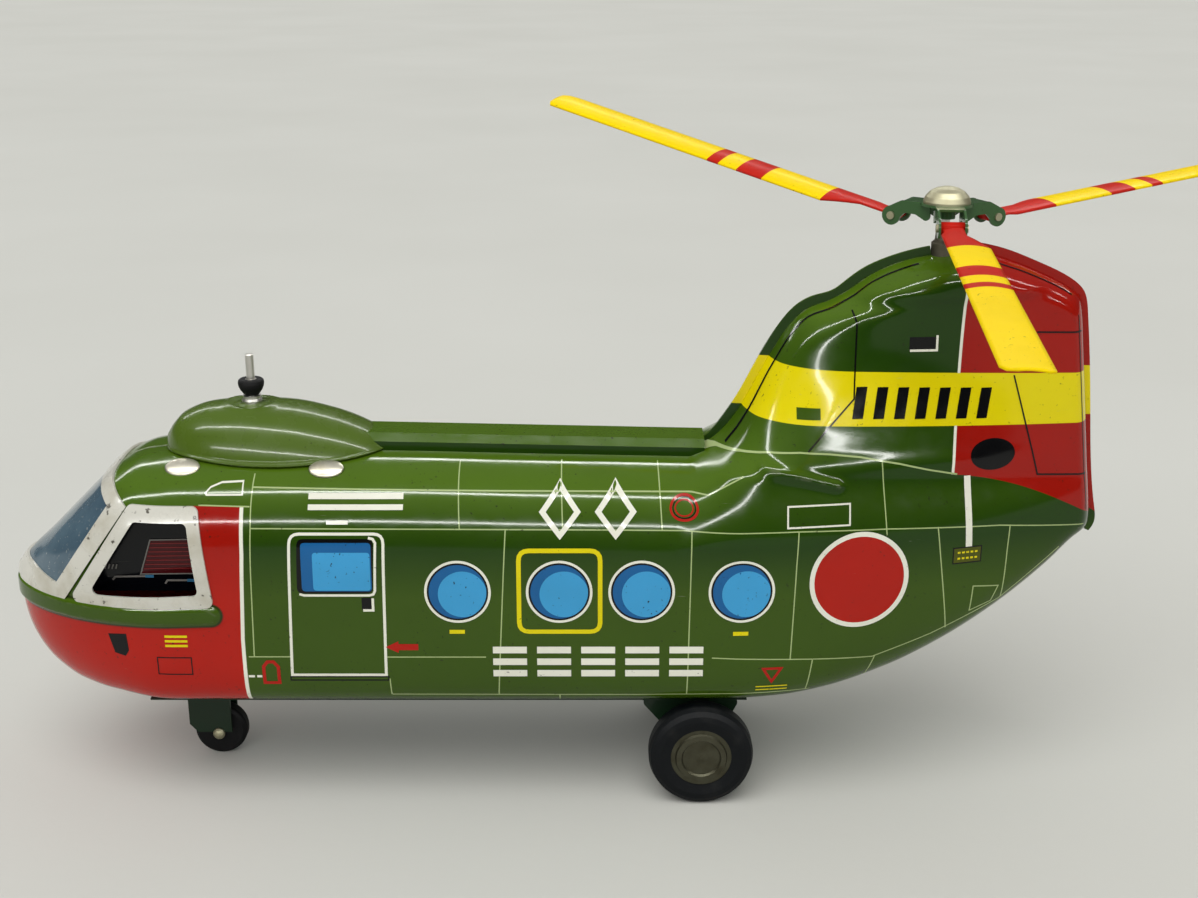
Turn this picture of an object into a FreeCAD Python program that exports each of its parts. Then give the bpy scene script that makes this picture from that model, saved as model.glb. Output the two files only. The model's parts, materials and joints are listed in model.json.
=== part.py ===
# Battery tin toy helicopter with tandem rotors, as an assembly of separate pieces.
# Frame: millimetres, +Z up, nose toward -X, left side toward -Y.
# Origin: ground contact of the nose wheel, in the symmetry plane.

import FreeCAD, Part
import math
import os

V = FreeCAD.Vector
PI = math.pi

# ------------------------------------------------------------------ driving dimensions
WALL = 0.6                 # tin sheet of the two pressed body halves
NOSE_X = -70.0             # foremost point of the body
HALF_WIDTH = 41.0          # half width of the cabin
NOSE_ROUND_X = -5.0        # ahead of this the sides round in to the nose
NOSE_POWER = 1.7           # fullness of the nose in plan
TAIL_X = 195.0             # behind this the sides draw in to the stern
STERN_HALF = 10.5          # half width at the stern
STERN_ROUND = 6.0          # length over which the stern edge rounds off
PYLON_X = 150.0            # the pylon lies wholly behind this
PYLON_FOOT = 105.0         # the pylon fades out into the cabin below this height
PYLON_CROWN = 10.0         # depth of its rounded top
PYLON_TIP = 196.0          # its leading edge runs upright above this height
LEAD_LENGTH = 30.0         # length over which its leading edge swells to full width
SADDLE_X = 170.0           # cabin and pylon are blended behind this
SADDLE_SOFT = 7.0          # reach of the fillet between them
FRONT_X = 20.5             # front rotor axis
REAR_X = 267.0             # rear rotor axis
SHAFT_R = 1.5              # rear rotor shaft, and the bare front pin that takes a rotor boss
STEM_R = 2.0               # front rotor shaft below its pin
COLLAR_TOP = 150.0         # shoulder under the front pin
FRONT_SHAFT_TOP = 159.3
HUB_Z = 208.0              # plane of the blade pivots
HUB_TOP = 212.8            # underside of the hub plate
EAR_R = 18.7               # pivot pins from the rotor axis
BLADE_L = 150.8            # blade from pivot to tip
BLADE_W = 14.0
BLADE_SHIFT = 2.5          # chord middle beside the line through the pivot
BLADE_AZIMUTH = {"near": -95.3, "left": 144.7, "right": 24.7}
BLADE_REST = {"near": -3.0, "left": 12.0, "right": 5.4}
BLADE_ROLL = {"near": 0.0, "left": -9.0, "right": 0.0}   # twist of the soft tin sheet
LINE_Z = 94.0              # line shaft joining both rotor gears
CROWN_TEETH = 24
PINION_TEETH = 8
MODULE = 1.0
AXLE_X = 183.0             # main axle
MAIN_R = 19.0
MAIN_W = 12.0
MAIN_OUT = 41.5            # outer face of a main tyre
NOSE_R = 10.0
NOSE_W = 7.0
KINGPIN_X = -3.0

# side profile of the body without the rear pylon, (x, z)
ROOF = [
    (-70.0, 78.5), (-67.5, 82.5), (-56.0, 93.8), (-45.0, 104.6), (-34.7, 114.4), (-28.0, 120.0),
    (-18.0, 124.0), (0.0, 125.6), (60.0, 126.0), (120.0, 124.8), (180.0, 123.6), (330.0, 119.0),
]
KEEL = [
    (-70.0, 69.0), (-67.5, 59.0), (-62.0, 49.5), (-54.0, 42.4), (-44.0, 38.2), (-32.0, 37.0),
    (196.0, 37.0), (212.0, 37.5), (230.0, 39.8), (250.0, 45.4), (270.0, 54.4), (290.0, 66.6),
    (310.0, 82.4), (322.0, 94.4), (330.0, 101.0),
]
# corner exponents of the cross-section below and above its widest level
LOW_CORNER = [
    (-70.0, 2.6), (-50.0, 3.2), (-30.0, 4.6), (-10.0, 6.5), (130.0, 6.5), (200.0, 6.0), (250.0, 4.2),
    (330.0, 3.2),
]
TOP_CORNER = [(-70.0, 2.3), (-35.0, 3.0), (0.0, 3.0), (180.0, 3.0), (330.0, 2.6)]
# leading edge of the pylon, height -> x, and its greatest half width, height -> y
PYLON_FRONT = [
    (100.0, 165.0), (123.0, 178.0), (128.0, 187.0), (134.0, 192.8), (141.0, 197.4), (157.0, 205.6),
    (170.0, 213.4), (176.0, 219.2), (179.5, 228.0), (183.0, 234.0), (188.0, 241.0), (192.0, 249.0),
    (194.6, 258.0), (196.4, 270.0),
]
PYLON_HALF = [
    (100.0, 38.0), (123.0, 36.0), (132.0, 31.0), (140.0, 27.0), (157.0, 20.5), (170.0, 18.0),
    (180.0, 17.0), (190.0, 15.5), (200.0, 14.0),
]
# top line of the pylon, (x, z), and the stern line, height -> x
PYLON_TOP = [
    (150.0, 100.0), (178.0, 123.0), (187.0, 128.0), (192.8, 134.0), (197.4, 141.0), (205.6, 157.0),
    (213.4, 170.0), (219.2, 175.8), (228.0, 179.6), (234.0, 182.9), (241.0, 188.0), (249.0, 192.0),
    (258.0, 195.0), (267.0, 196.8), (280.0, 196.4), (290.0, 193.8), (300.0, 190.0), (310.0, 185.2),
    (318.0, 179.5), (330.0, 168.0),
]
STERN_TOP = (316.8, 178.0)
STERN_LOW = (326.6, 99.0)


def curve(table):
    """Monotone cubic curve through a table of (argument, value)."""
    xs = [p[0] for p in table]
    ys = [p[1] for p in table]
    last = len(xs) - 1
    step = [xs[i + 1] - xs[i] for i in range(last)]
    rise = [(ys[i + 1] - ys[i]) / step[i] for i in range(last)]
    slope = [0.0] * (last + 1)
    slope[0] = rise[0]
    slope[last] = rise[last - 1]
    for i in range(1, last):
        if rise[i - 1] * rise[i] > 0.0:
            w1 = 2.0 * step[i] + step[i - 1]
            w2 = step[i] + 2.0 * step[i - 1]
            slope[i] = (w1 + w2) / (w1 / rise[i - 1] + w2 / rise[i])

    def value(x):
        if x <= xs[0]:
            return ys[0]
        if x >= xs[last]:
            return ys[last]
        i = 0
        while x > xs[i + 1]:
            i += 1
        t = (x - xs[i]) / step[i]
        a = (1.0 + 2.0 * t) * (1.0 - t) ** 2
        b = t * (1.0 - t) ** 2
        c = t * t * (3.0 - 2.0 * t)
        e = t * t * (t - 1.0)
        return a * ys[i] + b * step[i] * slope[i] + c * ys[i + 1] + e * step[i] * slope[i + 1]

    return value


roof = curve(ROOF)
keel = curve(KEEL)
low_corner = curve(LOW_CORNER)
top_corner = curve(TOP_CORNER)
pylon_front = curve(PYLON_FRONT)
pylon_half = curve(PYLON_HALF)
pylon_top = curve(PYLON_TOP)


def stern(z):
    """x of the stern line at height z."""
    t = (z - STERN_LOW[1]) / (STERN_TOP[1] - STERN_LOW[1])
    return STERN_LOW[0] + t * (STERN_TOP[0] - STERN_LOW[0])


def round_end(left):
    """Factor that closes a half width over the last few millimetres before the stern line."""
    t = min(max(left / STERN_ROUND, 0.0), 1.0)
    return math.sqrt(1.0 - (1.0 - t) ** 2)


def plan(x, z):
    """Half width of the body in plan, round at the nose and drawn in toward the stern."""
    if x < NOSE_ROUND_X:
        t = min((NOSE_ROUND_X - x) / (NOSE_ROUND_X - NOSE_X), 1.0)
        return (HALF_WIDTH - 1.0) * (1.0 - t ** NOSE_POWER) ** (1.0 / NOSE_POWER) + 1.0 - t
    if x < TAIL_X:
        return HALF_WIDTH
    end = stern(z)
    t = min(max((x - TAIL_X) / (end - TAIL_X), 0.0), 1.0)
    body = HALF_WIDTH - (HALF_WIDTH - STERN_HALF) * (0.25 * t + 0.75 * t * t)
    return body * round_end(end - x)


def hull(x, y, z):
    """Signed measure of the cabin: negative inside, in millimetres near the skin."""
    half = max(plan(x, z), 0.02)
    top = roof(x)
    low = keel(x)
    level = low + 0.5 * (top - low)
    if z > level:
        n = top_corner(x)
        v = (z - level) / (top - level)
    else:
        n = low_corner(x)
        v = (level - z) / (level - low)
    e = (abs(y / half) ** n + abs(v) ** n) ** (1.0 / n)
    return (e - 1.0) * 30.0


def pylon(x, y, z):
    """Signed measure of the rear pylon."""
    if x < PYLON_X:
        return 50.0
    front = pylon_front(min(z, PYLON_TIP))
    half = pylon_half(z)
    end = stern(z)
    back = min(max((x - front) / (end - front), 0.0), 1.0)
    half += (STERN_HALF - half) * back ** 1.6
    ahead = x - front
    if ahead <= 0.0:
        return 20.0 + abs(y) - ahead
    if ahead < LEAD_LENGTH:
        half *= (1.0 - (1.0 - ahead / LEAD_LENGTH) ** 2.2) ** (1.0 / 2.2)
    half = max(half * round_end(end - x), 0.02)
    v = max((z - (pylon_top(x) - PYLON_CROWN)) / PYLON_CROWN, 0.0)
    if z < PYLON_FOOT:
        v = (PYLON_FOOT - z) / 12.0
    e = (abs(y / half) ** 2.4 + v ** 2.4) ** (1.0 / 2.4)
    return (e - 1.0) * 14.0


def field(x, y, z):
    """Cabin and pylon merged with a soft fillet."""
    a = hull(x, y, z)
    if x < SADDLE_X:
        return a
    b = pylon(x, y, z)
    h = max(SADDLE_SOFT - abs(a - b), 0.0) / SADDLE_SOFT
    return min(a, b) - h * h * SADDLE_SOFT * 0.25


ray_level = curve([
    (-70.0, 74.5), (-30.0, 78.0), (180.0, 80.0), (230.0, 92.0), (270.0, 108.0), (326.6, 138.0),
])


def lean(s):
    """Slope dx/dz of a cross-section plane, upright forward and parallel to the stern aft."""
    last = (STERN_TOP[0] - STERN_LOW[0]) / (STERN_TOP[1] - STERN_LOW[1])
    return last * min(max((s - 200.0) / (STERN_LOW[0] - 200.0), 0.0), 1.0)


def section(s, count, rays=150):
    """Points of one cross-section from the keel round the +Y side to the roof."""
    zc = ray_level(s)
    k = lean(s)
    wide = max(plan(s, 99.0), 0.05)
    low = keel(s)
    high = max(roof(s), pylon_top(s))
    tall = 0.5 * (high - low)
    found = []
    for i in range(rays + 1):
        a = -0.5 * PI + PI * i / rays
        dy = math.cos(a) * wide
        dz = math.sin(a) * tall
        near = 0.0
        far = 3.2
        for _ in range(30):
            mid = 0.5 * (near + far)
            z = zc + dz * mid
            if field(s + k * (z - STERN_LOW[1]), dy * mid, z) < 0.0:
                near = mid
            else:
                far = mid
        z = zc + dz * near
        found.append(V(s + k * (z - STERN_LOW[1]), dy * near, z))
    found[0].y = 0.0
    found[-1].y = 0.0
    reach = [0.0]
    for p, q in zip(found, found[1:]):
        reach.append(reach[-1] + p.distanceToPoint(q))
    row = []
    j = 0
    for i in range(count):
        want = reach[-1] * i / (count - 1)
        while j < rays - 1 and reach[j + 1] < want:
            j += 1
        t = (want - reach[j]) / max(reach[j + 1] - reach[j], 1e-9)
        row.append(found[j] + (found[j + 1] - found[j]) * min(max(t, 0.0), 1.0))
    return row


def stations():
    """Section positions from nose to stern, close together where the body rounds off."""
    out = [NOSE_X + 34.0 * (1.0 - math.cos(0.5 * PI * i / 13.0)) for i in range(13)]
    out += [-36.0 + 7.2 * i for i in range(30)]
    out += [179.0 + 4.0 * i for i in range(34)]
    out += [315.5, 318.5]
    out += [320.6 + 6.0 * math.sin(0.5 * PI * i / 5.0) for i in range(6)]
    return out


def body_grid():
    rows = [section(s, 52) for s in stations()]
    for row in (rows[0], rows[-1]):
        for p in row:
            p.y = 0.0
    return rows


def normals(rows):
    """Outward unit normals of a grid of points, in the symmetry plane on its border."""
    last = len(rows) - 1
    side = len(rows[0]) - 1
    out = []
    for i in range(last + 1):
        line = []
        for j in range(side + 1):
            du = rows[min(i + 1, last)][j] - rows[max(i - 1, 0)][j]
            dv = rows[i][min(j + 1, side)] - rows[i][max(j - 1, 0)]
            if j in (0, side):
                dv = V(0.0, 1.0 if j == 0 else -1.0, 0.0)
            if i in (0, last):
                du = V(0.0, 1.0 if i == 0 else -1.0, 0.0)
            n = dv.cross(du)
            if n.Length < 1e-9:
                n = V(0.0, 1.0, 0.0)
            n.normalize()
            line.append(n)
        out.append(line)
    for i, a in ((0, 1), (last, last - 1)):
        for j, b in ((0, 1), (side, side - 1)):
            n = out[i][b] + out[a][j]
            n.y = 0.0
            n.normalize()
            out[i][j] = n
    return out


def half_solid(rows):
    """Closed solid between a grid surface and the symmetry plane."""
    skin = Part.BSplineSurface()
    skin.interpolate(rows)
    face = skin.toShape()
    flat = Part.Face(Part.Wire(Part.__sortEdges__(face.Edges)))
    shell = Part.Shell([face, flat])
    shell.sewShape()
    solid = Part.makeSolid(shell)
    if solid.Volume < 0.0:
        solid.reverse()
    return solid


GRID = body_grid()
GRID_N = normals(GRID)
STATIONS = stations()


def body_half(offset):
    """Half of the body moved out (or in) by an offset, on the +Y side."""
    rows = [[p + n * offset for p, n in zip(r, m)] for r, m in zip(GRID, GRID_N)]
    for row in rows:
        row[0].y = 0.0
        row[-1].y = 0.0
    for row in (rows[0], rows[-1]):
        for p in row:
            p.y = 0.0
    return half_solid(rows)


# ------------------------------------------------------------------ small helpers
def block(x0, x1, y0, y1, z0, z1):
    return Part.makeBox(x1 - x0, y1 - y0, z1 - z0, V(x0, y0, z0))


def rod(r, start, end):
    a = V(*start)
    b = V(*end)
    return Part.makeCylinder(r, a.distanceToPoint(b), a, b - a)


def tube(r, bore, start, end):
    return rod(r, start, end).cut(rod(bore, start, end))


def outline(points, radius=0.0):
    """Closed wire in the XZ plane, its corners rounded."""
    pts = [V(x, 0.0, z) for x, z in points]
    if radius <= 0.0:
        return Part.makePolygon(pts + [pts[0]])
    edges = []
    ends = []
    for i, p in enumerate(pts):
        a = pts[i - 1] - p
        b = pts[(i + 1) % len(pts)] - p
        half = 0.5 * a.getAngle(b)
        back = min(radius / math.tan(half), 0.45 * a.Length, 0.45 * b.Length)
        a.normalize()
        b.normalize()
        bis = a + b
        bis.normalize()
        r = back * math.tan(half)
        mid = p + bis * (r / math.sin(half) - r)
        ends.append((p + a * back, mid, p + b * back))
    for i, (start, mid, end) in enumerate(ends):
        edges.append(Part.Arc(start, mid, end).toShape())
        edges.append(Part.makeLine(end, ends[(i + 1) % len(ends)][0]))
    return Part.Wire(edges)


def prism(points, y0, y1, radius=0.0):
    """Side-view outline carried across the body from y0 to y1."""
    face = Part.Face(outline(points, radius))
    face.translate(V(0.0, y0, 0.0))
    return face.extrude(V(0.0, y1 - y0, 0.0))


def through(points, radius=0.0):
    """Side-view outline carried right through the body."""
    return prism(points, -60.0, 60.0, radius)


def mirrored(shape):
    return shape.mirror(V(0.0, 0.0, 0.0), V(0.0, 1.0, 0.0))


def turned(profile, centre, axis):
    """Solid of revolution; profile is a list of (radius, height) along the axis."""
    pts = [V(r, 0.0, h) for r, h in profile]
    face = Part.Face(Part.makePolygon(pts + [pts[0]]))
    solid = face.revolve(V(0.0, 0.0, 0.0), V(0.0, 0.0, 1.0), 360.0)
    turn = FreeCAD.Rotation(V(0.0, 0.0, 1.0), V(*axis))
    solid.Placement = FreeCAD.Placement(V(*centre), turn)
    return solid


def single(shape):
    """The one solid of a boolean result, largest first."""
    solids = sorted(shape.Solids, key=lambda s: -s.Volume)
    return solids[0]


def hollow_half(depth, first, last):
    """Hollow under the +Y skin, between two of the cross-sections, ended by flat caps."""
    rows = []
    for i in range(first, last + 1):
        k = lean(STATIONS[i])
        plane = V(1.0, 0.0, -k)
        plane.normalize()
        row = []
        for p, n in zip(GRID[i], GRID_N[i]):
            if i in (first, last):
                n = n - plane * n.dot(plane)
                n.normalize()
            row.append(p - n * depth)
        row[0].y = 0.0
        row[-1].y = 0.0
        rows.append(row)
    skin = Part.BSplineSurface()
    skin.interpolate(rows)
    face = skin.toShape()
    seams = []
    caps = []
    for edge in face.Edges:
        start = edge.Vertexes[0].Point
        end = edge.Vertexes[-1].Point
        if edge.BoundBox.YMax < 0.01:
            seams.append(edge)
        else:
            chord = Part.makeLine(start, end)
            seams.append(chord)
            caps.append(Part.Face(Part.Wire([edge, chord])))
    flat = Part.Face(Part.Wire(Part.__sortEdges__(seams)))
    shell = Part.Shell([face, flat] + caps)
    shell.sewShape()
    solid = Part.makeSolid(shell)
    if solid.Volume < 0.0:
        solid.reverse()
    return solid


NODES = {}

# ------------------------------------------------------------------ body skin
FRAME_PROUD = 0.8          # window frames stand this far out of the skin

outer = body_half(0.0)
inner = hollow_half(WALL, 2, len(GRID) - 4)
proud = body_half(FRAME_PROUD)

WINDSCREEN = [(-80.0, 76.4), (-45.6, 75.8), (-18.8, 113.0), (-29.6, 122.0), (-44.0, 134.0), (-80.0, 134.0)]
WINDSCREEN_GLASS = [
    (-80.0, 85.8), (-60.0, 84.6), (-48.3, 82.0), (-26.2, 112.6), (-35.8, 120.6), (-50.0, 132.4),
    (-80.0, 132.4),
]
CAB_WINDOW = [(-43.4, 76.4), (-17.8, 114.0), (6.8, 114.0), (11.2, 78.4)]
CAB_GLASS = [(-34.6, 80.8), (-15.8, 108.8), (3.0, 108.8), (6.0, 83.0)]

FLANGE_FRONT = [
    (176.5, 124.4), (181.0, 126.4), (185.0, 129.0), (190.0, 135.1), (194.5, 141.9), (202.7, 157.7),
    (210.5, 170.9), (216.3, 177.5), (222.6, 180.8), (228.5, 182.6), (232.3, 185.3), (238.0, 189.8),
    (246.6, 194.1), (255.2, 196.9), (262.0, 198.4),
]
FLANGE_REAR = [
    (279.0, 199.6), (290.3, 196.9), (301.2, 192.6), (312.3, 187.2), (317.6, 182.4), (319.6, 175.3),
    (323.7, 141.9), (329.0, 101.4), (329.6, 95.5), (327.8, 91.6),
]


def flange(points, inward):
    """Folded seam standing proud of the skin along a curve in the symmetry plane."""
    rim = [V(x, 0.0, z) for x, z in points]
    root = []
    for i, p in enumerate(rim):
        along = rim[min(i + 1, len(rim) - 1)] - rim[max(i - 1, 0)]
        side = V(along.z, 0.0, -along.x)
        side.normalize()
        root.append(p + side * inward)
    a = Part.BSplineCurve()
    a.interpolate(rim)
    b = Part.BSplineCurve()
    b.interpolate(root)
    wire = Part.Wire([
        a.toShape(), Part.makeLine(rim[-1], root[-1]), b.toShape(), Part.makeLine(root[0], rim[0]),
    ])
    half = Part.Face(wire).extrude(V(0.0, WALL, 0.0)).cut(outer)
    return single(half.fuse(mirrored(half)).removeSplitter())


FLANGE_DEPTH = 5.0         # the folds reach this far into the skin before they are trimmed
NECK_R = 4.5               # hole in the pylon top for the rear bushing

belly_opening = block(-14.0, 196.0, -27.2, 27.2, 30.0, 45.0)
roof_hole = rod(5.0, (FRONT_X, 0.0, 115.0), (FRONT_X, 0.0, 135.0))
neck = rod(NECK_R, (REAR_X, 0.0, 188.0), (REAR_X, 0.0, 201.0))
front_flange = single(flange(FLANGE_FRONT, FLANGE_DEPTH).cut(neck))
rear_flange = flange(FLANGE_REAR, FLANGE_DEPTH)

NODES["pylon_front_flange"] = front_flange
NODES["pylon_rear_flange"] = rear_flange

half_skin = outer.cut(inner)
layer = proud.cut(outer)
glass_hole = through(WINDSCREEN_GLASS)
cab_hole = through(CAB_GLASS, 2.0)

windscreen = half_skin.common(glass_hole)
NODES["windscreen_glass"] = single(windscreen.fuse(mirrored(windscreen)).removeSplitter())
surround = layer.common(through(WINDSCREEN).cut(glass_hole))
NODES["windscreen_frame"] = single(surround.fuse(mirrored(surround)).removeSplitter())
window_frame = single(layer.common(through(CAB_WINDOW, 2.5).cut(cab_hole)))
NODES["right_cab_window_frame"] = window_frame
NODES["left_cab_window_frame"] = mirrored(window_frame)

half_skin = half_skin.cut(glass_hole)
for tool in (cab_hole, belly_opening, roof_hole, neck):
    half_skin = half_skin.cut(tool)
half_skin = single(half_skin)
NODES["right_body_shell"] = half_skin
NODES["left_body_shell"] = mirrored(half_skin)

# printed cab interior behind each side window, a flat card set parallel to the skin
card = prism([(-37.0, 79.0), (-17.0, 111.0), (8.0, 111.0), (8.0, 79.0)], 27.0, 27.5)
NODES["right_cab_panel"] = card
NODES["left_cab_panel"] = mirrored(card)

# ------------------------------------------------------------------ front rotor fairing
FAIRING_MID = 32.0
FAIRING_LEN = 42.5
FAIRING_HALF = 22.5
FAIRING_BASE = 114.0
fairing_top = curve([
    (-10.5, 129.0), (-7.5, 133.6), (-4.0, 137.0), (6.0, 140.4), (19.0, 141.4), (34.0, 140.4),
    (48.0, 137.4), (61.0, 132.6), (70.0, 126.9), (74.5, 122.5),
])


def fairing_rows(offset):
    rows = []
    for i in range(33):
        a = PI * i / 32.0
        x = FAIRING_MID - (FAIRING_LEN + offset) * math.cos(a)
        half = (FAIRING_HALF + offset) * math.sin(a) ** (2.0 / 2.3)
        tall = fairing_top(x) + offset - FAIRING_BASE
        row = []
        for j in range(25):
            b = 0.5 * PI * j / 24.0
            y = half * math.cos(b) ** (2.0 / 2.5)
            row.append(V(x, y, FAIRING_BASE + tall * math.sin(b) ** (2.0 / 2.5)))
        row[-1].y = 0.0
        rows.append(row)
    for row in (rows[0], rows[-1]):
        for p in row:
            p.y = 0.0
    return rows


def dome(rows):
    """Whole dome from half a grid: both skins and a flat base."""
    skin = Part.BSplineSurface()
    skin.interpolate(rows)
    face = skin.toShape()
    edges = sorted(face.Edges, key=lambda e: e.BoundBox.ZMax)
    base = edges[0]
    close = Part.makeLine(base.Vertexes[0].Point, base.Vertexes[-1].Point)
    floor = Part.Face(Part.Wire([base, close]))
    rest = Part.Face(Part.Wire(Part.__sortEdges__([e for e in face.Edges if not e.isSame(base)] + [close])))
    shell = Part.Shell([face, floor, rest])
    shell.sewShape()
    solid = Part.makeSolid(shell)
    if solid.Volume < 0.0:
        solid.reverse()
    return solid


fairing_out = dome(fairing_rows(0.0))
fairing_in = dome(fairing_rows(-0.6))
fairing_half = fairing_out.cut(fairing_in).cut(outer)
fairing_half = fairing_half.cut(rod(3.6, (FRONT_X, 0.0, 130.0), (FRONT_X, 0.0, 150.0)))
fairing = single(fairing_half.fuse(mirrored(fairing_half)).removeSplitter())
fairing_body = fairing_out.fuse(mirrored(fairing_out))
NODES["front_fairing"] = fairing

# folded lugs holding the fairing to the roof, flattened ovals that lie along its slope
LUG_SIZE = (6.2, 4.2, 1.5)
LUG_TILT = 28.0
LUG_PLACES = [(-1.0, 21.5, 1.9), (50.0, 23.2, 2.3)]    # x, y and depth below the roof line
lugs = []
for x, y, depth in LUG_PLACES:
    for side in (-1.0, 1.0):
        grow = FreeCAD.Matrix()
        grow.scale(*LUG_SIZE)
        lug = Part.makeSphere(1.0).transformGeometry(grow)
        lug.rotate(V(0.0, 0.0, 0.0), V(1.0, 0.0, 0.0), -side * LUG_TILT)
        lug.translate(V(x, side * y, roof(x) - depth))
        lug = lug.cut(outer if side > 0.0 else mirrored(outer)).cut(fairing_body)
        lugs.append(single(lug))
NODES["fairing_lugs"] = Part.makeCompound(lugs)

# ------------------------------------------------------------------ roof spine cover
SPINE_ENDS = [(62.0, 131.9), (184.0, 129.3)]           # x and height of the top
SPINE_HALF = 9.0
SPINE_FOOT = 118.0
SPINE_BEVEL = (2.4, 2.6)


def spine(grow):
    """Bevelled ridge along the roof, made larger or smaller by grow."""
    half = SPINE_HALF + grow
    across, down = SPINE_BEVEL
    ends = []
    for x, height in SPINE_ENDS:
        top = height + grow
        ends.append(Part.makePolygon([
            V(x, -half, SPINE_FOOT), V(x, -half, top - down), V(x, across - half, top),
            V(x, half - across, top), V(x, half, top - down), V(x, half, SPINE_FOOT),
            V(x, -half, SPINE_FOOT),
        ]))
    return Part.makeLoft(ends, True, True)


spine_cover = spine(0.0).cut(spine(-0.5)).cut(outer).cut(mirrored(outer)).cut(fairing_body)
spine_cover = spine_cover.cut(front_flange)
NODES["spine_cover"] = single(spine_cover)

# ------------------------------------------------------------------ gears
PITCH_R = 0.5 * MODULE * CROWN_TEETH
PINION_R = 0.5 * MODULE * PINION_TEETH


def spur(teeth, x0, x1, y, z, phase, bore):
    """Straight-toothed wheel whose axis runs along X."""
    pitch = 0.5 * MODULE * teeth
    root = pitch - 1.15
    tip = pitch + 0.9
    pts = []
    for i in range(teeth):
        a = math.radians(phase) + 2.0 * PI * i / teeth
        for r, w in ((root, -0.95), (tip, -0.34), (tip, 0.34), (root, 0.95)):
            b = a + math.atan2(w, r)
            pts.append(V(x0, y + r * math.cos(b), z + r * math.sin(b)))
    face = Part.Face(Part.makePolygon(pts + [pts[0]]))
    return face.extrude(V(x1 - x0, 0.0, 0.0)).cut(rod(bore, (x0 - 1.0, y, z), (x1 + 1.0, y, z)))


def crown(x, bore):
    """Contrate wheel with its teeth hanging below a disc, on a vertical shaft at x."""
    base = LINE_Z + PINION_R + 1.25
    wheel = Part.makeCylinder(13.6, 2.0, V(x, 0.0, base))
    wheel = wheel.fuse(Part.makeCylinder(3.6, 4.0, V(x, 0.0, base + 1.0)))
    for i in range(CROWN_TEETH):
        tooth = Part.makePolygon([
            V(10.6, -0.72, base + 0.1), V(10.6, 0.72, base + 0.1), V(10.6, 0.34, base - 2.1),
            V(10.6, -0.34, base - 2.1), V(10.6, -0.72, base + 0.1),
        ])
        tooth = Part.Face(tooth).extrude(V(2.9, 0.0, 0.0))
        tooth.rotate(V(0.0, 0.0, 0.0), V(0.0, 0.0, 1.0), (i + 0.5) * 360.0 / CROWN_TEETH)
        tooth.translate(V(x, 0.0, 0.0))
        wheel = wheel.fuse(tooth)
    return wheel.cut(Part.makeCylinder(bore, 20.0, V(x, 0.0, base - 5.0)))


NODES["front_crown_gear"] = crown(FRONT_X, STEM_R)
NODES["rear_crown_gear"] = crown(REAR_X, SHAFT_R)
FRONT_PINION_X = FRONT_X + PITCH_R
REAR_PINION_X = REAR_X - PITCH_R
SPUR_X = 166.0
NODES["line_shaft"] = rod(1.25, (FRONT_X + 6.0, 0.0, LINE_Z), (REAR_X - 6.0, 0.0, LINE_Z))
pinions = []
for x0, x1 in ((FRONT_PINION_X - 1.7, FRONT_PINION_X + 2.5), (REAR_PINION_X - 2.5, REAR_PINION_X + 1.7)):
    pinions.append(spur(PINION_TEETH, x0, x1, 0.0, LINE_Z, 90.0, 1.25))
NODES["line_pinions"] = Part.makeCompound(pinions)
NODES["drive_wheel"] = spur(CROWN_TEETH, SPUR_X - 1.8, SPUR_X + 1.8, 0.0, LINE_Z, 90.0, 1.25)
MOTOR_Z = LINE_Z - PITCH_R - PINION_R
NODES["motor_shaft"] = rod(1.0, (130.0, 0.0, MOTOR_Z), (SPUR_X + 3.0, 0.0, MOTOR_Z))
NODES["motor_pinion"] = spur(PINION_TEETH, SPUR_X - 2.4, SPUR_X + 2.4, 0.0, MOTOR_Z, 90.0 + 22.5, 1.0)
can = rod(11.5, (129.0, 0.0, MOTOR_Z), (157.0, 0.0, MOTOR_Z))
can = can.fuse(rod(4.0, (157.0, 0.0, MOTOR_Z), (158.4, 0.0, MOTOR_Z)))
NODES["motor_can"] = can.cut(rod(1.05, (129.5, 0.0, MOTOR_Z), (170.0, 0.0, MOTOR_Z)))

# long bearing frame above the line shaft, its wings reaching the body walls
FRAME_Z = LINE_Z + 11.5
frame = block(8.0, 282.0, -11.0, 11.0, FRAME_Z, FRAME_Z + 1.5)
frame = frame.cut(block(SPUR_X - 4.0, SPUR_X + 4.0, -9.0, 9.0, FRAME_Z - 1.0, FRAME_Z + 3.0))
wings = block(52.0, 64.0, 0.0, 45.0, FRAME_Z, FRAME_Z + 1.5)
wings = wings.fuse(block(196.0, 208.0, 0.0, 45.0, FRAME_Z, FRAME_Z + 1.5)).common(inner)
frame = frame.fuse(wings).fuse(mirrored(wings))
for x in (FRONT_X + 19.0, REAR_X - 20.5):
    frame = frame.fuse(block(x, x + 1.5, -7.0, 7.0, LINE_Z - 4.0, FRAME_Z + 0.5))
frame = frame.cut(rod(1.30, (30.0, 0.0, LINE_Z), (260.0, 0.0, LINE_Z)))
for x, r in ((FRONT_X, STEM_R), (REAR_X, SHAFT_R)):
    frame = frame.cut(rod(r + 0.05, (x, 0.0, FRAME_Z - 1.0), (x, 0.0, FRAME_Z + 3.0)))
NODES["drive_frame"] = single(frame)

bracket = block(157.0, 158.4, -14.0, 14.0, MOTOR_Z - 14.0, FRAME_Z)
bracket = bracket.cut(rod(4.0, (150.0, 0.0, MOTOR_Z), (160.0, 0.0, MOTOR_Z)))
bracket = bracket.cut(rod(1.30, (150.0, 0.0, LINE_Z), (160.0, 0.0, LINE_Z)))
NODES["motor_bracket"] = bracket

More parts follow.
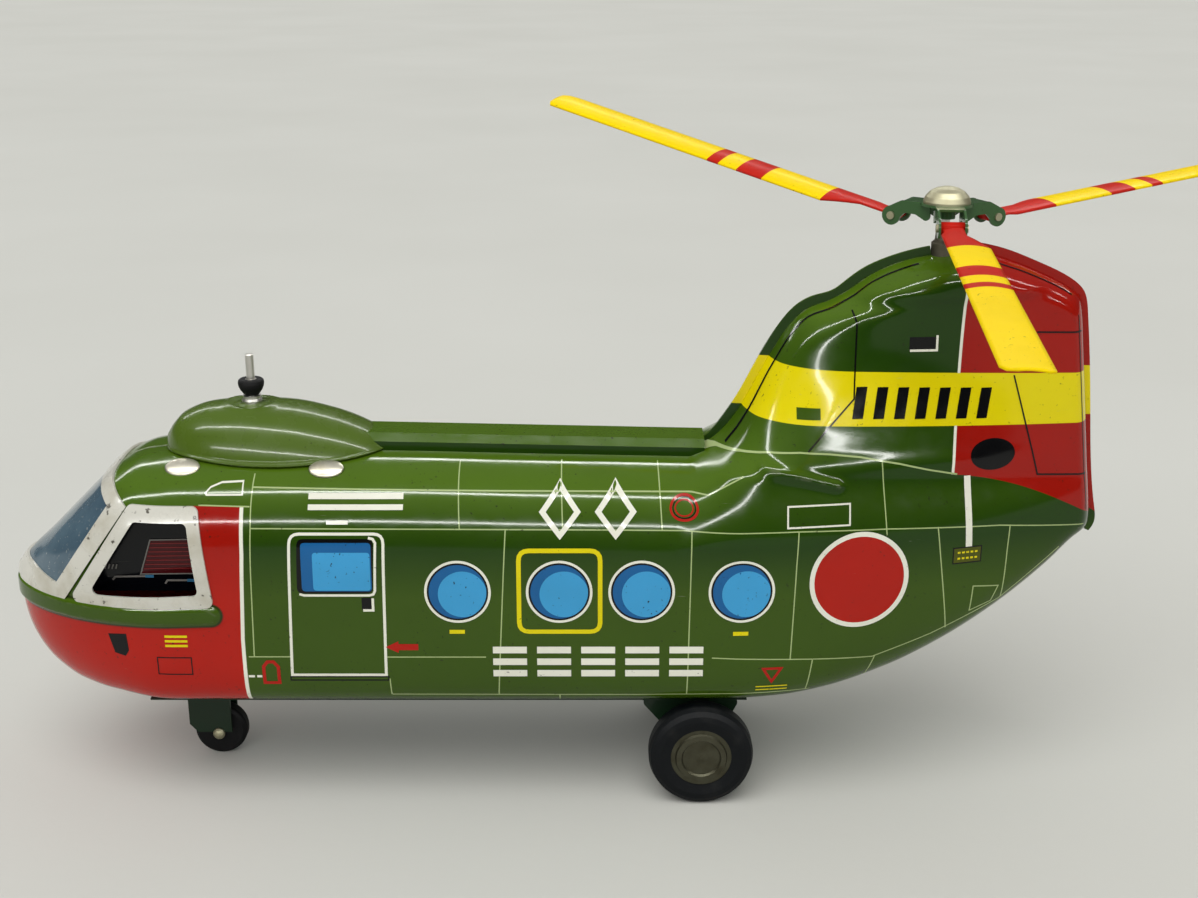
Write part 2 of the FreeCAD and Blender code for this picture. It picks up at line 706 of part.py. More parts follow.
# ------------------------------------------------------------------ rotor shafts
shaft_low = LINE_Z + PINION_R + 0.4
NODES["front_rotor_shaft"] = turned([
    (0.0, shaft_low), (STEM_R, shaft_low), (STEM_R, COLLAR_TOP), (SHAFT_R, COLLAR_TOP),
    (SHAFT_R, FRONT_SHAFT_TOP - 0.3), (SHAFT_R - 0.3, FRONT_SHAFT_TOP), (0.0, FRONT_SHAFT_TOP),
], (FRONT_X, 0.0, 0.0), (0.0, 0.0, 1.0))
# rubber cup, widest just under its flat top
NODES["front_shaft_collar"] = turned([
    (STEM_R, 0.0), (2.6, 0.0), (3.3, 1.0), (4.0, 2.0), (4.5, 3.2), (4.7, 4.4), (4.5, 5.4), (4.0, 5.8),
    (STEM_R, 5.8),
], (FRONT_X, 0.0, COLLAR_TOP - 5.8), (0.0, 0.0, 1.0))
NODES["front_bushing"] = turned([
    (STEM_R + 0.05, 0.0), (3.6, 0.0), (3.6, 5.2), (3.2, 6.0), (3.2, 6.9), (STEM_R + 0.05, 6.9),
], (FRONT_X, 0.0, 137.0), (0.0, 0.0, 1.0))
NODES["rear_rotor_shaft"] = rod(SHAFT_R, (REAR_X, 0.0, shaft_low), (REAR_X, 0.0, HUB_TOP + 2.2))
NODES["rear_bushing"] = turned([
    (SHAFT_R + 0.05, 0.0), (4.5, 0.0), (4.5, 9.6), (3.4, 10.6), (3.0, 14.6), (SHAFT_R + 0.05, 14.6),
], (REAR_X, 0.0, 190.0), (0.0, 0.0, 1.0))

# ------------------------------------------------------------------ rear rotor
EAR_IN = 4.0               # inner face of an ear from the middle of its arm
SHEET = 0.8                # metal of the hub
PIN_R = 0.8
EYE_R = 1.7                # rolled eye of a blade


def to_azimuth(shape, degrees):
    out = shape.copy()
    out.rotate(V(0.0, 0.0, 0.0), V(0.0, 0.0, 1.0), degrees)
    out.translate(V(REAR_X, 0.0, 0.0))
    return out


hub = Part.makeCylinder(9.2, SHEET, V(0.0, 0.0, HUB_TOP))
hub = hub.fuse(Part.makeCylinder(3.2, 5.0, V(0.0, 0.0, HUB_TOP - 4.6)))
arm = block(0.0, 14.4, -EAR_IN - SHEET, EAR_IN + SHEET, HUB_TOP, HUB_TOP + SHEET)
ear = outline([
    (4.0, HUB_TOP + SHEET), (15.0, HUB_TOP + SHEET), (EAR_R + 1.4, HUB_Z + 3.0), (EAR_R - 1.6, HUB_Z - 2.4),
    (13.5, HUB_TOP - 3.4), (9.5, HUB_TOP - 3.6), (4.0, HUB_TOP - 6.4),
], 1.5)
ear = Part.Face(ear).extrude(V(0.0, SHEET, 0.0))
lobe = rod(3.4, (EAR_R, 0.0, HUB_Z), (EAR_R, SHEET, HUB_Z))
ear = ear.fuse(lobe)
ear.translate(V(0.0, EAR_IN, 0.0))
arm = arm.fuse(ear).fuse(mirrored(ear))
arm = arm.cut(rod(PIN_R, (EAR_R, -8.0, HUB_Z), (EAR_R, 8.0, HUB_Z)))
EAR_OUT = EAR_IN + SHEET
pin = rod(PIN_R, (EAR_R, -EAR_OUT, HUB_Z), (EAR_R, EAR_OUT, HUB_Z))
for side in (-1.0, 1.0):
    pin = pin.fuse(rod(1.4, (EAR_R, side * EAR_OUT, HUB_Z), (EAR_R, side * (EAR_OUT + 0.6), HUB_Z)))

# blade in its own frame: pivot at the origin, span along +X, chord along Y
BLADE_T = 0.7
CAMBER = 1.0
arc_r = (0.25 * BLADE_W ** 2 + CAMBER ** 2) / (2.0 * CAMBER)
bow_z = 0.9 - arc_r
bow = tube(arc_r, arc_r - BLADE_T, (0.0, BLADE_SHIFT, bow_z), (BLADE_L, BLADE_SHIFT, bow_z))
half_root = 3.4
lead = BLADE_SHIFT - 0.5 * BLADE_W
trail = BLADE_SHIFT + 0.5 * BLADE_W
plan_pts = [
    (1.2, -half_root), (6.0, -half_root), (9.0, lead), (BLADE_L - 5.0, lead), (BLADE_L, lead + 3.0),
    (BLADE_L - 1.0, trail), (26.0, trail), (13.0, half_root), (1.2, half_root),
]
plan_wire = Part.makePolygon([V(x, y, -2.0) for x, y in plan_pts + plan_pts[:1]])
sheet = bow.common(Part.Face(plan_wire).extrude(V(0.0, 0.0, 4.0)))


def blade(roll):
    """Blade with its rolled eye, the sheet twisted about the span."""
    out = sheet.copy()
    out.rotate(V(0.0, 0.0, 0.0), V(1.0, 0.0, 0.0), roll)
    out = out.fuse(rod(EYE_R, (0.0, -3.7, 0.0), (0.0, 3.7, 0.0)))
    return single(out.cut(rod(PIN_R + 0.05, (0.0, -5.0, 0.0), (0.0, 5.0, 0.0))))


pins = []
for name, azimuth in BLADE_AZIMUTH.items():
    hub = hub.fuse(to_azimuth(arm, azimuth).translated(V(-REAR_X, 0.0, 0.0)))
    pins.append(to_azimuth(pin, azimuth))
    flapped = blade(BLADE_ROLL[name])
    flapped.rotate(V(0.0, 0.0, 0.0), V(0.0, 1.0, 0.0), -BLADE_REST[name])
    flapped.translate(V(EAR_R, 0.0, HUB_Z))
    NODES["blade_" + name] = to_azimuth(flapped, azimuth)
hub = hub.cut(Part.makeCylinder(SHAFT_R, 20.0, V(0.0, 0.0, HUB_TOP - 10.0)))
hub.translate(V(REAR_X, 0.0, 0.0))
NODES["blade_pins"] = Part.makeCompound(pins)
NODES["rotor_hub"] = single(hub)
cap_z = HUB_TOP + SHEET
NODES["hub_cap"] = turned([
    (0.0, 1.6), (SHAFT_R, 1.6), (SHAFT_R, 0.0), (8.2, 0.0), (8.2, 0.7), (7.5, 2.3), (6.0, 4.0), (4.0, 5.1),
    (2.0, 5.6), (0.0, 5.7),
], (REAR_X, 0.0, cap_z), (0.0, 0.0, 1.0))

# ------------------------------------------------------------------ belly plate, door and screws
PLATE_LOW = 36.2
PLATE_TOP = 36.8
DOOR_X0 = 57.0
DOOR_X1 = 109.0
DOOR_HALF = 25.4
HINGE_X = 55.4
HINGE_Z = 34.4
SWITCH_X = 140.0
plate = prism([(-18.0, PLATE_LOW), (200.0, PLATE_LOW), (200.0, PLATE_TOP), (-18.0, PLATE_TOP)], -29.0, 29.0)
plate = plate.cut(block(DOOR_X0, DOOR_X1, -DOOR_HALF, DOOR_HALF, 30.0, 40.0))
plate = plate.cut(rod(2.05, (KINGPIN_X, 0.0, 30.0), (KINGPIN_X, 0.0, 40.0)))
plate = plate.cut(block(SWITCH_X - 6.0, SWITCH_X + 6.0, -1.8, 1.8, 30.0, 40.0))
for side in (-1.0, 1.0):
    y0 = 18.0 if side > 0.0 else -19.5
    ear = block(HINGE_X - 1.6, HINGE_X + 1.2, y0, y0 + 1.5, HINGE_Z - 1.4, PLATE_LOW + 0.2)
    plate = plate.fuse(ear.cut(rod(0.7, (HINGE_X, y0 - 1.0, HINGE_Z), (HINGE_X, y0 + 3.0, HINGE_Z))))
SCREWS = [(24.0, 20.0), (24.0, -20.0), (124.0, 20.0), (124.0, -20.0)]
screws = []
for x, y in SCREWS:
    plate = plate.cut(rod(1.2, (x, y, 30.0), (x, y, 40.0)))
    screw = rod(1.2, (x, y, PLATE_LOW - 0.2), (x, y, PLATE_TOP + 5.0))
    screw = screw.fuse(rod(2.4, (x, y, PLATE_LOW - 1.3), (x, y, PLATE_LOW)))
    screw = screw.cut(block(x - 2.6, x + 2.6, y - 0.3, y + 0.3, PLATE_LOW - 2.0, PLATE_LOW - 0.8))
    screws.append(single(screw))
NODES["belly_screws"] = Part.makeCompound(screws)
NODES["belly_plate"] = single(plate)

door = block(DOOR_X0 + 0.4, DOOR_X1 - 0.4, -DOOR_HALF + 0.4, DOOR_HALF - 0.4, PLATE_LOW, PLATE_TOP)
door = door.fuse(block(DOOR_X0 + 0.4, DOOR_X0 + 4.0, -17.0, 17.0, HINGE_Z + 0.3, PLATE_LOW))
door = door.fuse(block(HINGE_X, DOOR_X0 + 1.0, -17.0, 17.0, HINGE_Z + 0.3, HINGE_Z + 1.1))
door = door.fuse(rod(1.3, (HINGE_X, -17.0, HINGE_Z), (HINGE_X, 17.0, HINGE_Z)))
door = door.cut(rod(0.75, (HINGE_X, -18.0, HINGE_Z), (HINGE_X, 18.0, HINGE_Z)))
NODES["battery_door"] = single(door)
NODES["door_hinge_pin"] = rod(0.7, (HINGE_X, -19.9, HINGE_Z), (HINGE_X, 19.9, HINGE_Z))

# ------------------------------------------------------------------ battery box, cells, switch, wires
CELL_R = 12.9
CELL_Y = 13.5
CELL_Z = 52.5
CAP_R = 3.3                # brass cap of a cell
CONTACT_LOW = 44.0         # contact plates stand between these heights
CONTACT_TOP = 61.0
box = block(54.0, 112.0, -28.4, 28.4, 40.0, 67.6).cut(block(55.0, 111.0, -27.4, 27.4, 39.0, 66.6))
for x in (54.0, 111.0):
    box = box.fuse(block(x, x + 1.0, -24.0, 24.0, PLATE_TOP, 40.5))
NODES["battery_box"] = single(box)
# the two cells lie head to tail: flat end, then the end that carries the cap
for number, y, flat_end, cap_end, toward in ((1, -CELL_Y, 58.4, 106.8, 1.0), (2, CELL_Y, 109.4, 61.0, -1.0)):
    cell = rod(CELL_R, (flat_end, y, CELL_Z), (cap_end, y, CELL_Z))
    cell = cell.fuse(rod(CAP_R, (cap_end, y, CELL_Z), (cap_end + toward * 1.6, y, CELL_Z)))
    NODES["battery_%d" % number] = cell
contact = block(55.0, 55.5, -20.0, 20.0, CONTACT_LOW, CONTACT_TOP)
contact = contact.fuse(Part.makeCone(5.0, 3.0, 2.9, V(55.5, -CELL_Y, CELL_Z), V(1.0, 0.0, 0.0)))
contact = contact.fuse(rod(3.0, (55.5, CELL_Y, CELL_Z), (59.4, CELL_Y, CELL_Z)))
NODES["battery_contact_front"] = contact
contact = block(110.5, 111.0, 8.0, 20.0, CONTACT_LOW, CONTACT_TOP)
contact = contact.fuse(Part.makeCone(5.0, 3.0, 1.1, V(110.5, CELL_Y, CELL_Z), V(-1.0, 0.0, 0.0)))
NODES["battery_spring_rear"] = contact
contact = block(110.5, 111.0, -20.0, -8.0, CONTACT_LOW, CONTACT_TOP)
contact = contact.fuse(rod(3.0, (108.4, -CELL_Y, CELL_Z), (110.5, -CELL_Y, CELL_Z)))
NODES["battery_contact_rear"] = contact

SWITCH_TOP = PLATE_TOP + 7.0
switch = block(SWITCH_X - 11.0, SWITCH_X + 11.0, -6.0, 6.0, PLATE_TOP, SWITCH_TOP)
switch = switch.cut(block(SWITCH_X - 8.0, SWITCH_X + 8.0, -3.2, 3.2, PLATE_TOP - 1.0, PLATE_TOP + 4.0))
NODES["switch_body"] = switch
knob = block(SWITCH_X - 5.0, SWITCH_X - 1.0, -1.5, 1.5, PLATE_LOW - 2.4, PLATE_TOP + 1.0)
knob = knob.fuse(block(SWITCH_X - 7.5, SWITCH_X + 1.5, -2.9, 2.9, PLATE_TOP + 0.1, PLATE_TOP + 3.6))
NODES["switch_slider"] = knob


def cable(points, r):
    """Insulated wire through a list of points, ending on the parts it joins."""
    run = rod(r, points[0], points[1])
    for a, b in zip(points[1:], points[2:]):
        run = run.fuse(Part.makeSphere(r, V(*a))).fuse(rod(r, a, b))
    for name in ("battery_box", "switch_body", "motor_can"):
        run = run.cut(NODES[name])
    return single(run.removeSplitter())


WIRE_R = 0.7
NODES["wire_red"] = cable([
    (112.0, CELL_Y, 60.0), (120.0, 14.0, 64.0), (125.0, 8.0, MOTOR_Z - 4.0), (129.0, 6.0, MOTOR_Z - 4.0),
], WIRE_R)
NODES["wire_black"] = cable([
    (112.0, -CELL_Y, 60.0), (118.0, -15.0, 58.0), (127.0, -12.0, 50.0), (SWITCH_X, -4.5, SWITCH_TOP),
], WIRE_R)
NODES["wire_blue"] = cable([
    (SWITCH_X + 6.0, 0.0, SWITCH_TOP), (150.0, 10.0, 52.0), (153.0, 20.0, 62.0),
    (150.0, 14.0, MOTOR_Z - 2.0), (148.0, 11.5, MOTOR_Z),
], WIRE_R)

# ------------------------------------------------------------------ main wheels
AXLE_END = MAIN_OUT - 2.0
IN_FACE = MAIN_OUT - MAIN_W + 1.0      # inner face of a tyre
RIM_R = 11.0
NODES["main_axle"] = rod(SHAFT_R, (AXLE_X, -AXLE_END, MAIN_R), (AXLE_X, AXLE_END, MAIN_R))
for name, side in (("left", -1.0), ("right", 1.0)):
    tyre = turned([
        (RIM_R, IN_FACE), (16.0, IN_FACE), (18.2, IN_FACE + 0.9), (MAIN_R, IN_FACE + 3.0),
        (MAIN_R, MAIN_OUT - 3.4), (18.3, MAIN_OUT - 1.2), (16.6, MAIN_OUT - 0.2), (14.6, MAIN_OUT),
        (RIM_R, MAIN_OUT - 0.6),
    ], (AXLE_X, 0.0, MAIN_R), (0.0, side, 0.0))
    NODES["main_tyre_" + name] = tyre
    rim = turned([
        (SHAFT_R, 27.4), (3.0, 27.4), (3.0, IN_FACE + 1.0), (RIM_R, IN_FACE + 1.0),
        (RIM_R, MAIN_OUT - 0.8), (9.4, MAIN_OUT - 0.8), (9.0, MAIN_OUT + 0.1), (7.2, MAIN_OUT + 0.3),
        (6.7, MAIN_OUT - 0.5), (2.2, MAIN_OUT - 0.5), (0.0, MAIN_OUT - 0.3), (0.0, AXLE_END),
        (SHAFT_R, AXLE_END),
    ], (AXLE_X, 0.0, MAIN_R), (0.0, side, 0.0))
    NODES["main_hub_" + name] = rim
    cheek = prism([
        (160.0, PLATE_LOW), (178.6, 14.6), (187.4, 14.6), (198.0, PLATE_LOW),
    ], 25.8, 27.0, 2.0)
    strut = cheek.fuse(block(162.0, 196.0, 17.0, 27.0, PLATE_LOW - 1.2, PLATE_LOW))
    strut = strut.cut(rod(SHAFT_R + 0.06, (AXLE_X, 20.0, MAIN_R), (AXLE_X, 30.0, MAIN_R)))
    strut = single(strut.common(block(150.0, 210.0, 0.0, 40.0, 0.0, PLATE_LOW)))
    NODES["main_strut_" + name] = strut if side > 0.0 else mirrored(strut)

# ------------------------------------------------------------------ nose gear
FORK_OUT = 6.0             # outer face of a fork cheek
FORK_SHEET = 1.0
FORK_TOP = 34.2
NOSE_AXLE_R = 1.25
KINGPIN_R = 2.0
cheek = prism([
    (-11.0, 34.0), (-11.0, 14.0), (-8.0, 10.6), (5.0, 10.6), (5.0, 34.0),
], FORK_OUT - FORK_SHEET, FORK_OUT)
fork = cheek.fuse(mirrored(cheek))
fork = fork.fuse(block(-11.0, 5.0, -FORK_OUT, FORK_OUT, FORK_TOP - FORK_SHEET, FORK_TOP))
fork = fork.cut(rod(NOSE_AXLE_R, (0.0, -10.0, NOSE_R), (0.0, 10.0, NOSE_R)))
fork = fork.cut(rod(KINGPIN_R, (KINGPIN_X, 0.0, 30.0), (KINGPIN_X, 0.0, 40.0)))
NODES["nose_fork"] = single(fork)


def on_kingpin(r, low, high, bore=0.0):
    """Disc or ring on the kingpin's axis between two heights."""
    disc = rod(r, (KINGPIN_X, 0.0, low), (KINGPIN_X, 0.0, high))
    return disc.cut(rod(bore, (KINGPIN_X, 0.0, low), (KINGPIN_X, 0.0, high))) if bore else disc


kingpin = on_kingpin(KINGPIN_R, FORK_TOP - FORK_SHEET, PLATE_TOP + 0.1)
kingpin = kingpin.fuse(on_kingpin(4.0, PLATE_TOP + 0.1, PLATE_TOP + 1.2))
kingpin = kingpin.fuse(on_kingpin(4.0, FORK_TOP, PLATE_LOW - 0.1, KINGPIN_R))
kingpin = kingpin.fuse(on_kingpin(3.4, FORK_TOP - 2.0 * FORK_SHEET, FORK_TOP - FORK_SHEET))
NODES["nose_kingpin"] = kingpin
nose_axle = rod(NOSE_AXLE_R, (0.0, -FORK_OUT, NOSE_R), (0.0, FORK_OUT, NOSE_R))
for side in (-1.0, 1.0):
    nose_axle = nose_axle.fuse(turned([
        (0.0, FORK_OUT), (2.3, FORK_OUT), (2.2, 6.6), (1.6, 7.2), (0.8, 7.5), (0.0, 7.6),
    ], (0.0, 0.0, NOSE_R), (0.0, side, 0.0)))
NODES["nose_axle"] = nose_axle
half_nose = 0.5 * NOSE_W
nose_bore = NOSE_AXLE_R + 0.05
NODES["nose_wheel"] = turned([
    (nose_bore, -half_nose), (8.6, -half_nose), (9.7, -2.6), (NOSE_R, -1.6), (NOSE_R, 1.6), (9.7, 2.6),
    (8.6, half_nose), (nose_bore, half_nose),
], (0.0, 0.0, NOSE_R), (0.0, 1.0, 0.0))

# ------------------------------------------------------------------ one STEP file per piece
os.makedirs("parts", exist_ok=True)
for name, shape in NODES.items():
    shape.exportStep("parts/" + name + ".step")
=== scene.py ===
"""Looks of a battery tin toy helicopter: printed tin skin, rubber tyres, plated fittings.

Lengths below are millimetres in the model's own frame unless a name says otherwise:
nose toward -X, left side toward -Y, ground at Z = 0. MM turns them into metres.
"""

import json
import math

import bmesh
import bpy
import numpy as np
from mathutils import Matrix, Vector


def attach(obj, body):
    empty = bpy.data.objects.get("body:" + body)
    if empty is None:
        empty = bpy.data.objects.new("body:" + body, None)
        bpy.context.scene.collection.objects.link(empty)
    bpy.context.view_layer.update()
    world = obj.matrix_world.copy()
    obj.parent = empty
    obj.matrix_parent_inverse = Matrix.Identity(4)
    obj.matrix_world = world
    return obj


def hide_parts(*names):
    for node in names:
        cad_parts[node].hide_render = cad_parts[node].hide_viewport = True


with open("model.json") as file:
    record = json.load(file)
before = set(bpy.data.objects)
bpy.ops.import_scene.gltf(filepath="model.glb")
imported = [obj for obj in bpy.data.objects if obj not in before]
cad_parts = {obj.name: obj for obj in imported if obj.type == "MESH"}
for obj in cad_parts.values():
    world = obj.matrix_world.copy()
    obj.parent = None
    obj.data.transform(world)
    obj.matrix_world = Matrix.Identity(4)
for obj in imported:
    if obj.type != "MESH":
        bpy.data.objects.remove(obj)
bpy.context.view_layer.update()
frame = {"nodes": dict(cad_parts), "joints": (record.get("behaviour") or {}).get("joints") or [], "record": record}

MM = 0.001
JOINTS = {j["name"]: j for j in frame["joints"]}

# ------------------------------------------------------------------ body form
NOSE_X = -70.0
HALF_WIDTH = 41.0
WALL = 0.6
NOSE_ROUND_X = -5.0  # ahead of this the sides round in to the nose
NOSE_POWER = 1.7  # fullness of the nose in plan
TAIL_X = 195.0  # behind this the sides draw in to the stern
STERN_HALF = 10.5
STERN_ROUND = 6.0  # length over which the stern edge rounds off
PYLON_X = 150.0  # the pylon lies wholly behind this
PYLON_FOOT = 105.0  # the pylon fades out into the cabin below this height
PYLON_CROWN = 10.0  # depth of its rounded top
PYLON_TIP = 196.0  # its leading edge runs upright above this height
LEAD_LENGTH = 30.0  # length over which its leading edge swells to full width
SADDLE_X = 170.0  # cabin and pylon are blended behind this
SADDLE_SOFT = 7.0  # reach of the fillet between them
HALVINGS = 34  # steps of each search for the skin
STERN_TOP = (316.8, 178.0)
STERN_LOW = (326.6, 99.0)
ROOF = [
    (-70.0, 78.5), (-67.5, 82.5), (-56.0, 93.8), (-45.0, 104.6), (-34.7, 114.4), (-28.0, 120.0),
    (-18.0, 124.0), (0.0, 125.6), (60.0, 126.0), (120.0, 124.8), (180.0, 123.6), (330.0, 119.0),
]
KEEL = [
    (-70.0, 69.0), (-67.5, 59.0), (-62.0, 49.5), (-54.0, 42.4), (-44.0, 38.2), (-32.0, 37.0),
    (196.0, 37.0), (212.0, 37.5), (230.0, 39.8), (250.0, 45.4), (270.0, 54.4), (290.0, 66.6),
    (310.0, 82.4), (322.0, 94.4), (330.0, 101.0),
]
LOW_CORNER = [
    (-70.0, 2.6), (-50.0, 3.2), (-30.0, 4.6), (-10.0, 6.5), (130.0, 6.5), (200.0, 6.0),
    (250.0, 4.2), (330.0, 3.2),
]
TOP_CORNER = [(-70.0, 2.3), (-35.0, 3.0), (0.0, 3.0), (180.0, 3.0), (330.0, 2.6)]
PYLON_FRONT = [
    (100.0, 165.0), (123.0, 178.0), (128.0, 187.0), (134.0, 192.8), (141.0, 197.4), (157.0, 205.6),
    (170.0, 213.4), (176.0, 219.2), (179.5, 228.0), (183.0, 234.0), (188.0, 241.0),
    (192.0, 249.0), (194.6, 258.0), (196.4, 270.0),
]
PYLON_HALF = [
    (100.0, 38.0), (123.0, 36.0), (132.0, 31.0), (140.0, 27.0), (157.0, 20.5), (170.0, 18.0),
    (180.0, 17.0), (190.0, 15.5), (200.0, 14.0),
]
PYLON_TOP = [
    (150.0, 100.0), (178.0, 123.0), (187.0, 128.0), (192.8, 134.0), (197.4, 141.0), (205.6, 157.0),
    (213.4, 170.0), (219.2, 175.8), (228.0, 179.6), (234.0, 182.9), (241.0, 188.0),
    (249.0, 192.0), (258.0, 195.0), (267.0, 196.8), (280.0, 196.4), (290.0, 193.8),
    (300.0, 190.0), (310.0, 185.2), (318.0, 179.5), (330.0, 168.0),
]
RAY_LEVEL = [
    (-70.0, 74.5), (-30.0, 78.0), (180.0, 80.0), (230.0, 92.0), (270.0, 108.0), (326.6, 138.0),
]


def curve(table):
    """Monotone cubic curve through (argument, value) pairs, for whole arrays."""
    xs, ys = (np.array(c, float) for c in zip(*table))
    step = np.diff(xs)
    rise = np.diff(ys) / step
    slope = np.concatenate([rise[:1], np.zeros(len(xs) - 2), rise[-1:]])
    for i in range(1, len(xs) - 1):
        if rise[i - 1] * rise[i] > 0.0:
            w1 = 2.0 * step[i] + step[i - 1]
            w2 = step[i] + 2.0 * step[i - 1]
            slope[i] = (w1 + w2) / (w1 / rise[i - 1] + w2 / rise[i])

    def value(x):
        x = np.clip(x, xs[0], xs[-1])
        i = np.clip(np.searchsorted(xs, x) - 1, 0, len(xs) - 2)
        t = (x - xs[i]) / step[i]
        a = (1.0 + 2.0 * t) * (1.0 - t) ** 2
        b = t * (1.0 - t) ** 2
        c = t * t * (3.0 - 2.0 * t)
        e = t * t * (t - 1.0)
        return a * ys[i] + b * step[i] * slope[i] + c * ys[i + 1] + e * step[i] * slope[i + 1]

    return value


roof = curve(ROOF)
keel = curve(KEEL)
low_corner = curve(LOW_CORNER)
top_corner = curve(TOP_CORNER)
pylon_front = curve(PYLON_FRONT)
pylon_half = curve(PYLON_HALF)
pylon_top = curve(PYLON_TOP)
ray_level = curve(RAY_LEVEL)


def stern(z):
    """x of the stern line at height z."""
    t = (z - STERN_LOW[1]) / (STERN_TOP[1] - STERN_LOW[1])
    return STERN_LOW[0] + t * (STERN_TOP[0] - STERN_LOW[0])


def round_end(left, depth):
    """Factor that closes a half width over the last few millimetres."""
    t = np.clip(left / depth, 0.0, 1.0)
    return np.sqrt(np.maximum(1.0 - (1.0 - t) ** 2, 0.0))


def plan(x, z):
    """Half width of the cabin in plan."""
    t = np.clip((NOSE_ROUND_X - x) / (NOSE_ROUND_X - NOSE_X), 0.0, 1.0)
    nose = (HALF_WIDTH - 1.0) * (1.0 - t ** NOSE_POWER) ** (1.0 / NOSE_POWER) + 1.0 - t
    end = stern(z)
    u = np.clip((x - TAIL_X) / (end - TAIL_X), 0.0, 1.0)
    tail = HALF_WIDTH - (HALF_WIDTH - STERN_HALF) * (0.25 * u + 0.75 * u * u)
    tail = tail * round_end(np.maximum(end - x, 0.0), STERN_ROUND)
    return np.where(x < NOSE_ROUND_X, nose, np.where(x < TAIL_X, HALF_WIDTH, tail))


def hull(x, y, z):
    """Signed measure of the cabin, negative inside."""
    half = np.maximum(plan(x, z), 0.02)
    top = roof(x)
    low = keel(x)
    level = low + 0.5 * (top - low)
    upper = z > level
    n = np.where(upper, top_corner(x), low_corner(x))
    v = np.where(upper, (z - level) / (top - level), (level - z) / (level - low))
    e = (np.abs(y / half) ** n + np.abs(v) ** n) ** (1.0 / n)
    return (e - 1.0) * 30.0


def pylon(x, y, z):
    """Signed measure of the rear pylon."""
    front = pylon_front(np.minimum(z, PYLON_TIP))
    half = pylon_half(z)
    end = stern(z)
    back = np.clip((x - front) / (end - front), 0.0, 1.0)
    half = half + (STERN_HALF - half) * back ** 1.6
    ahead = x - front
    lead = np.clip(ahead / LEAD_LENGTH, 0.0, 1.0)
    half = half * (1.0 - (1.0 - lead) ** 2.2) ** (1.0 / 2.2)
    half = np.maximum(half * round_end(np.maximum(end - x, 0.0), STERN_ROUND), 0.02)
    v = np.maximum((z - (pylon_top(x) - PYLON_CROWN)) / PYLON_CROWN, 0.0)
    v = np.where(z < PYLON_FOOT, (PYLON_FOOT - z) / 12.0, v)
    e = (np.abs(y / half) ** 2.4 + v ** 2.4) ** (1.0 / 2.4)
    inside = (e - 1.0) * 14.0
    return np.where(x < PYLON_X, 50.0, np.where(ahead <= 0.0, 20.0 + np.abs(y) - ahead, inside))


def field(x, y, z):
    """Cabin and pylon merged with a soft fillet."""
    a = hull(x, y, z)
    b = pylon(x, y, z)
    h = np.maximum(SADDLE_SOFT - np.abs(a - b), 0.0) / SADDLE_SOFT
    return np.where(x < SADDLE_X, a, np.minimum(a, b) - h * h * SADDLE_SOFT * 0.25)


def gradient(x, y, z):
    """Outward unit normals of the skin."""
    d = 0.05
    g = np.stack([
        field(x + d, y, z) - field(x - d, y, z),
        field(x, y + d, z) - field(x, y - d, z),
        field(x, y, z + d) - field(x, y, z - d),
    ], -1)
    return g / np.maximum(np.linalg.norm(g, axis=-1, keepdims=True), 1e-9)


def smooth(t):
    t = np.clip(t, 0.0, 1.0)
    return t * t * (3.0 - 2.0 * t)


def to_segment(x, z, a, b):
    """Distance in side view from the segment a-b."""
    d = np.array(b) - np.array(a)
    t = np.clip(((x - a[0]) * d[0] + (z - a[1]) * d[1]) / (d @ d), 0.0, 1.0)
    return np.hypot(x - a[0] - t * d[0], z - a[1] - t * d[1])


BELT_START = (-90.0, 72.2)
BELT_END = (9.6, 75.2)
BELT_HALF = 4.1
CREASE = curve([(228.0, 181.5), (238.0, 179.8), (285.0, 180.2), (312.0, 186.0), (330.0, 190.0)])
FIN = ((203.0, 127.0), (229.0, 120.2))


def emboss(x, z):
    """Height of the pressings above the plain skin."""
    belt = 1.3 * smooth((BELT_HALF - to_segment(x, z, BELT_START, BELT_END)) / 1.6)
    hump = 1.4 * smooth((z - CREASE(x)) / 4.5) * smooth((x - 229.0) / 8.0)
    hump = hump * smooth((pylon_top(x) - 1.0 - z) / 7.0) * smooth((316.0 - x) / 12.0)
    fin = 1.1 * smooth((2.6 - to_segment(x, z, *FIN)) / 2.4)
    return belt + hump + fin


def skin(x, z, lift):
    """Points and normals on the +Y skin at side-view places, raised by lift."""
    near = np.zeros_like(x)
    far = np.full_like(x, 60.0)
    for _ in range(HALVINGS):
        mid = 0.5 * (near + far)
        inside = field(x, mid, z) < 0.0
        near = np.where(inside, mid, near)
        far = np.where(inside, far, mid)
    n = gradient(x, near, z)
    return np.stack([x, near, z], -1) + n * (emboss(x, z) + lift)[:, None]


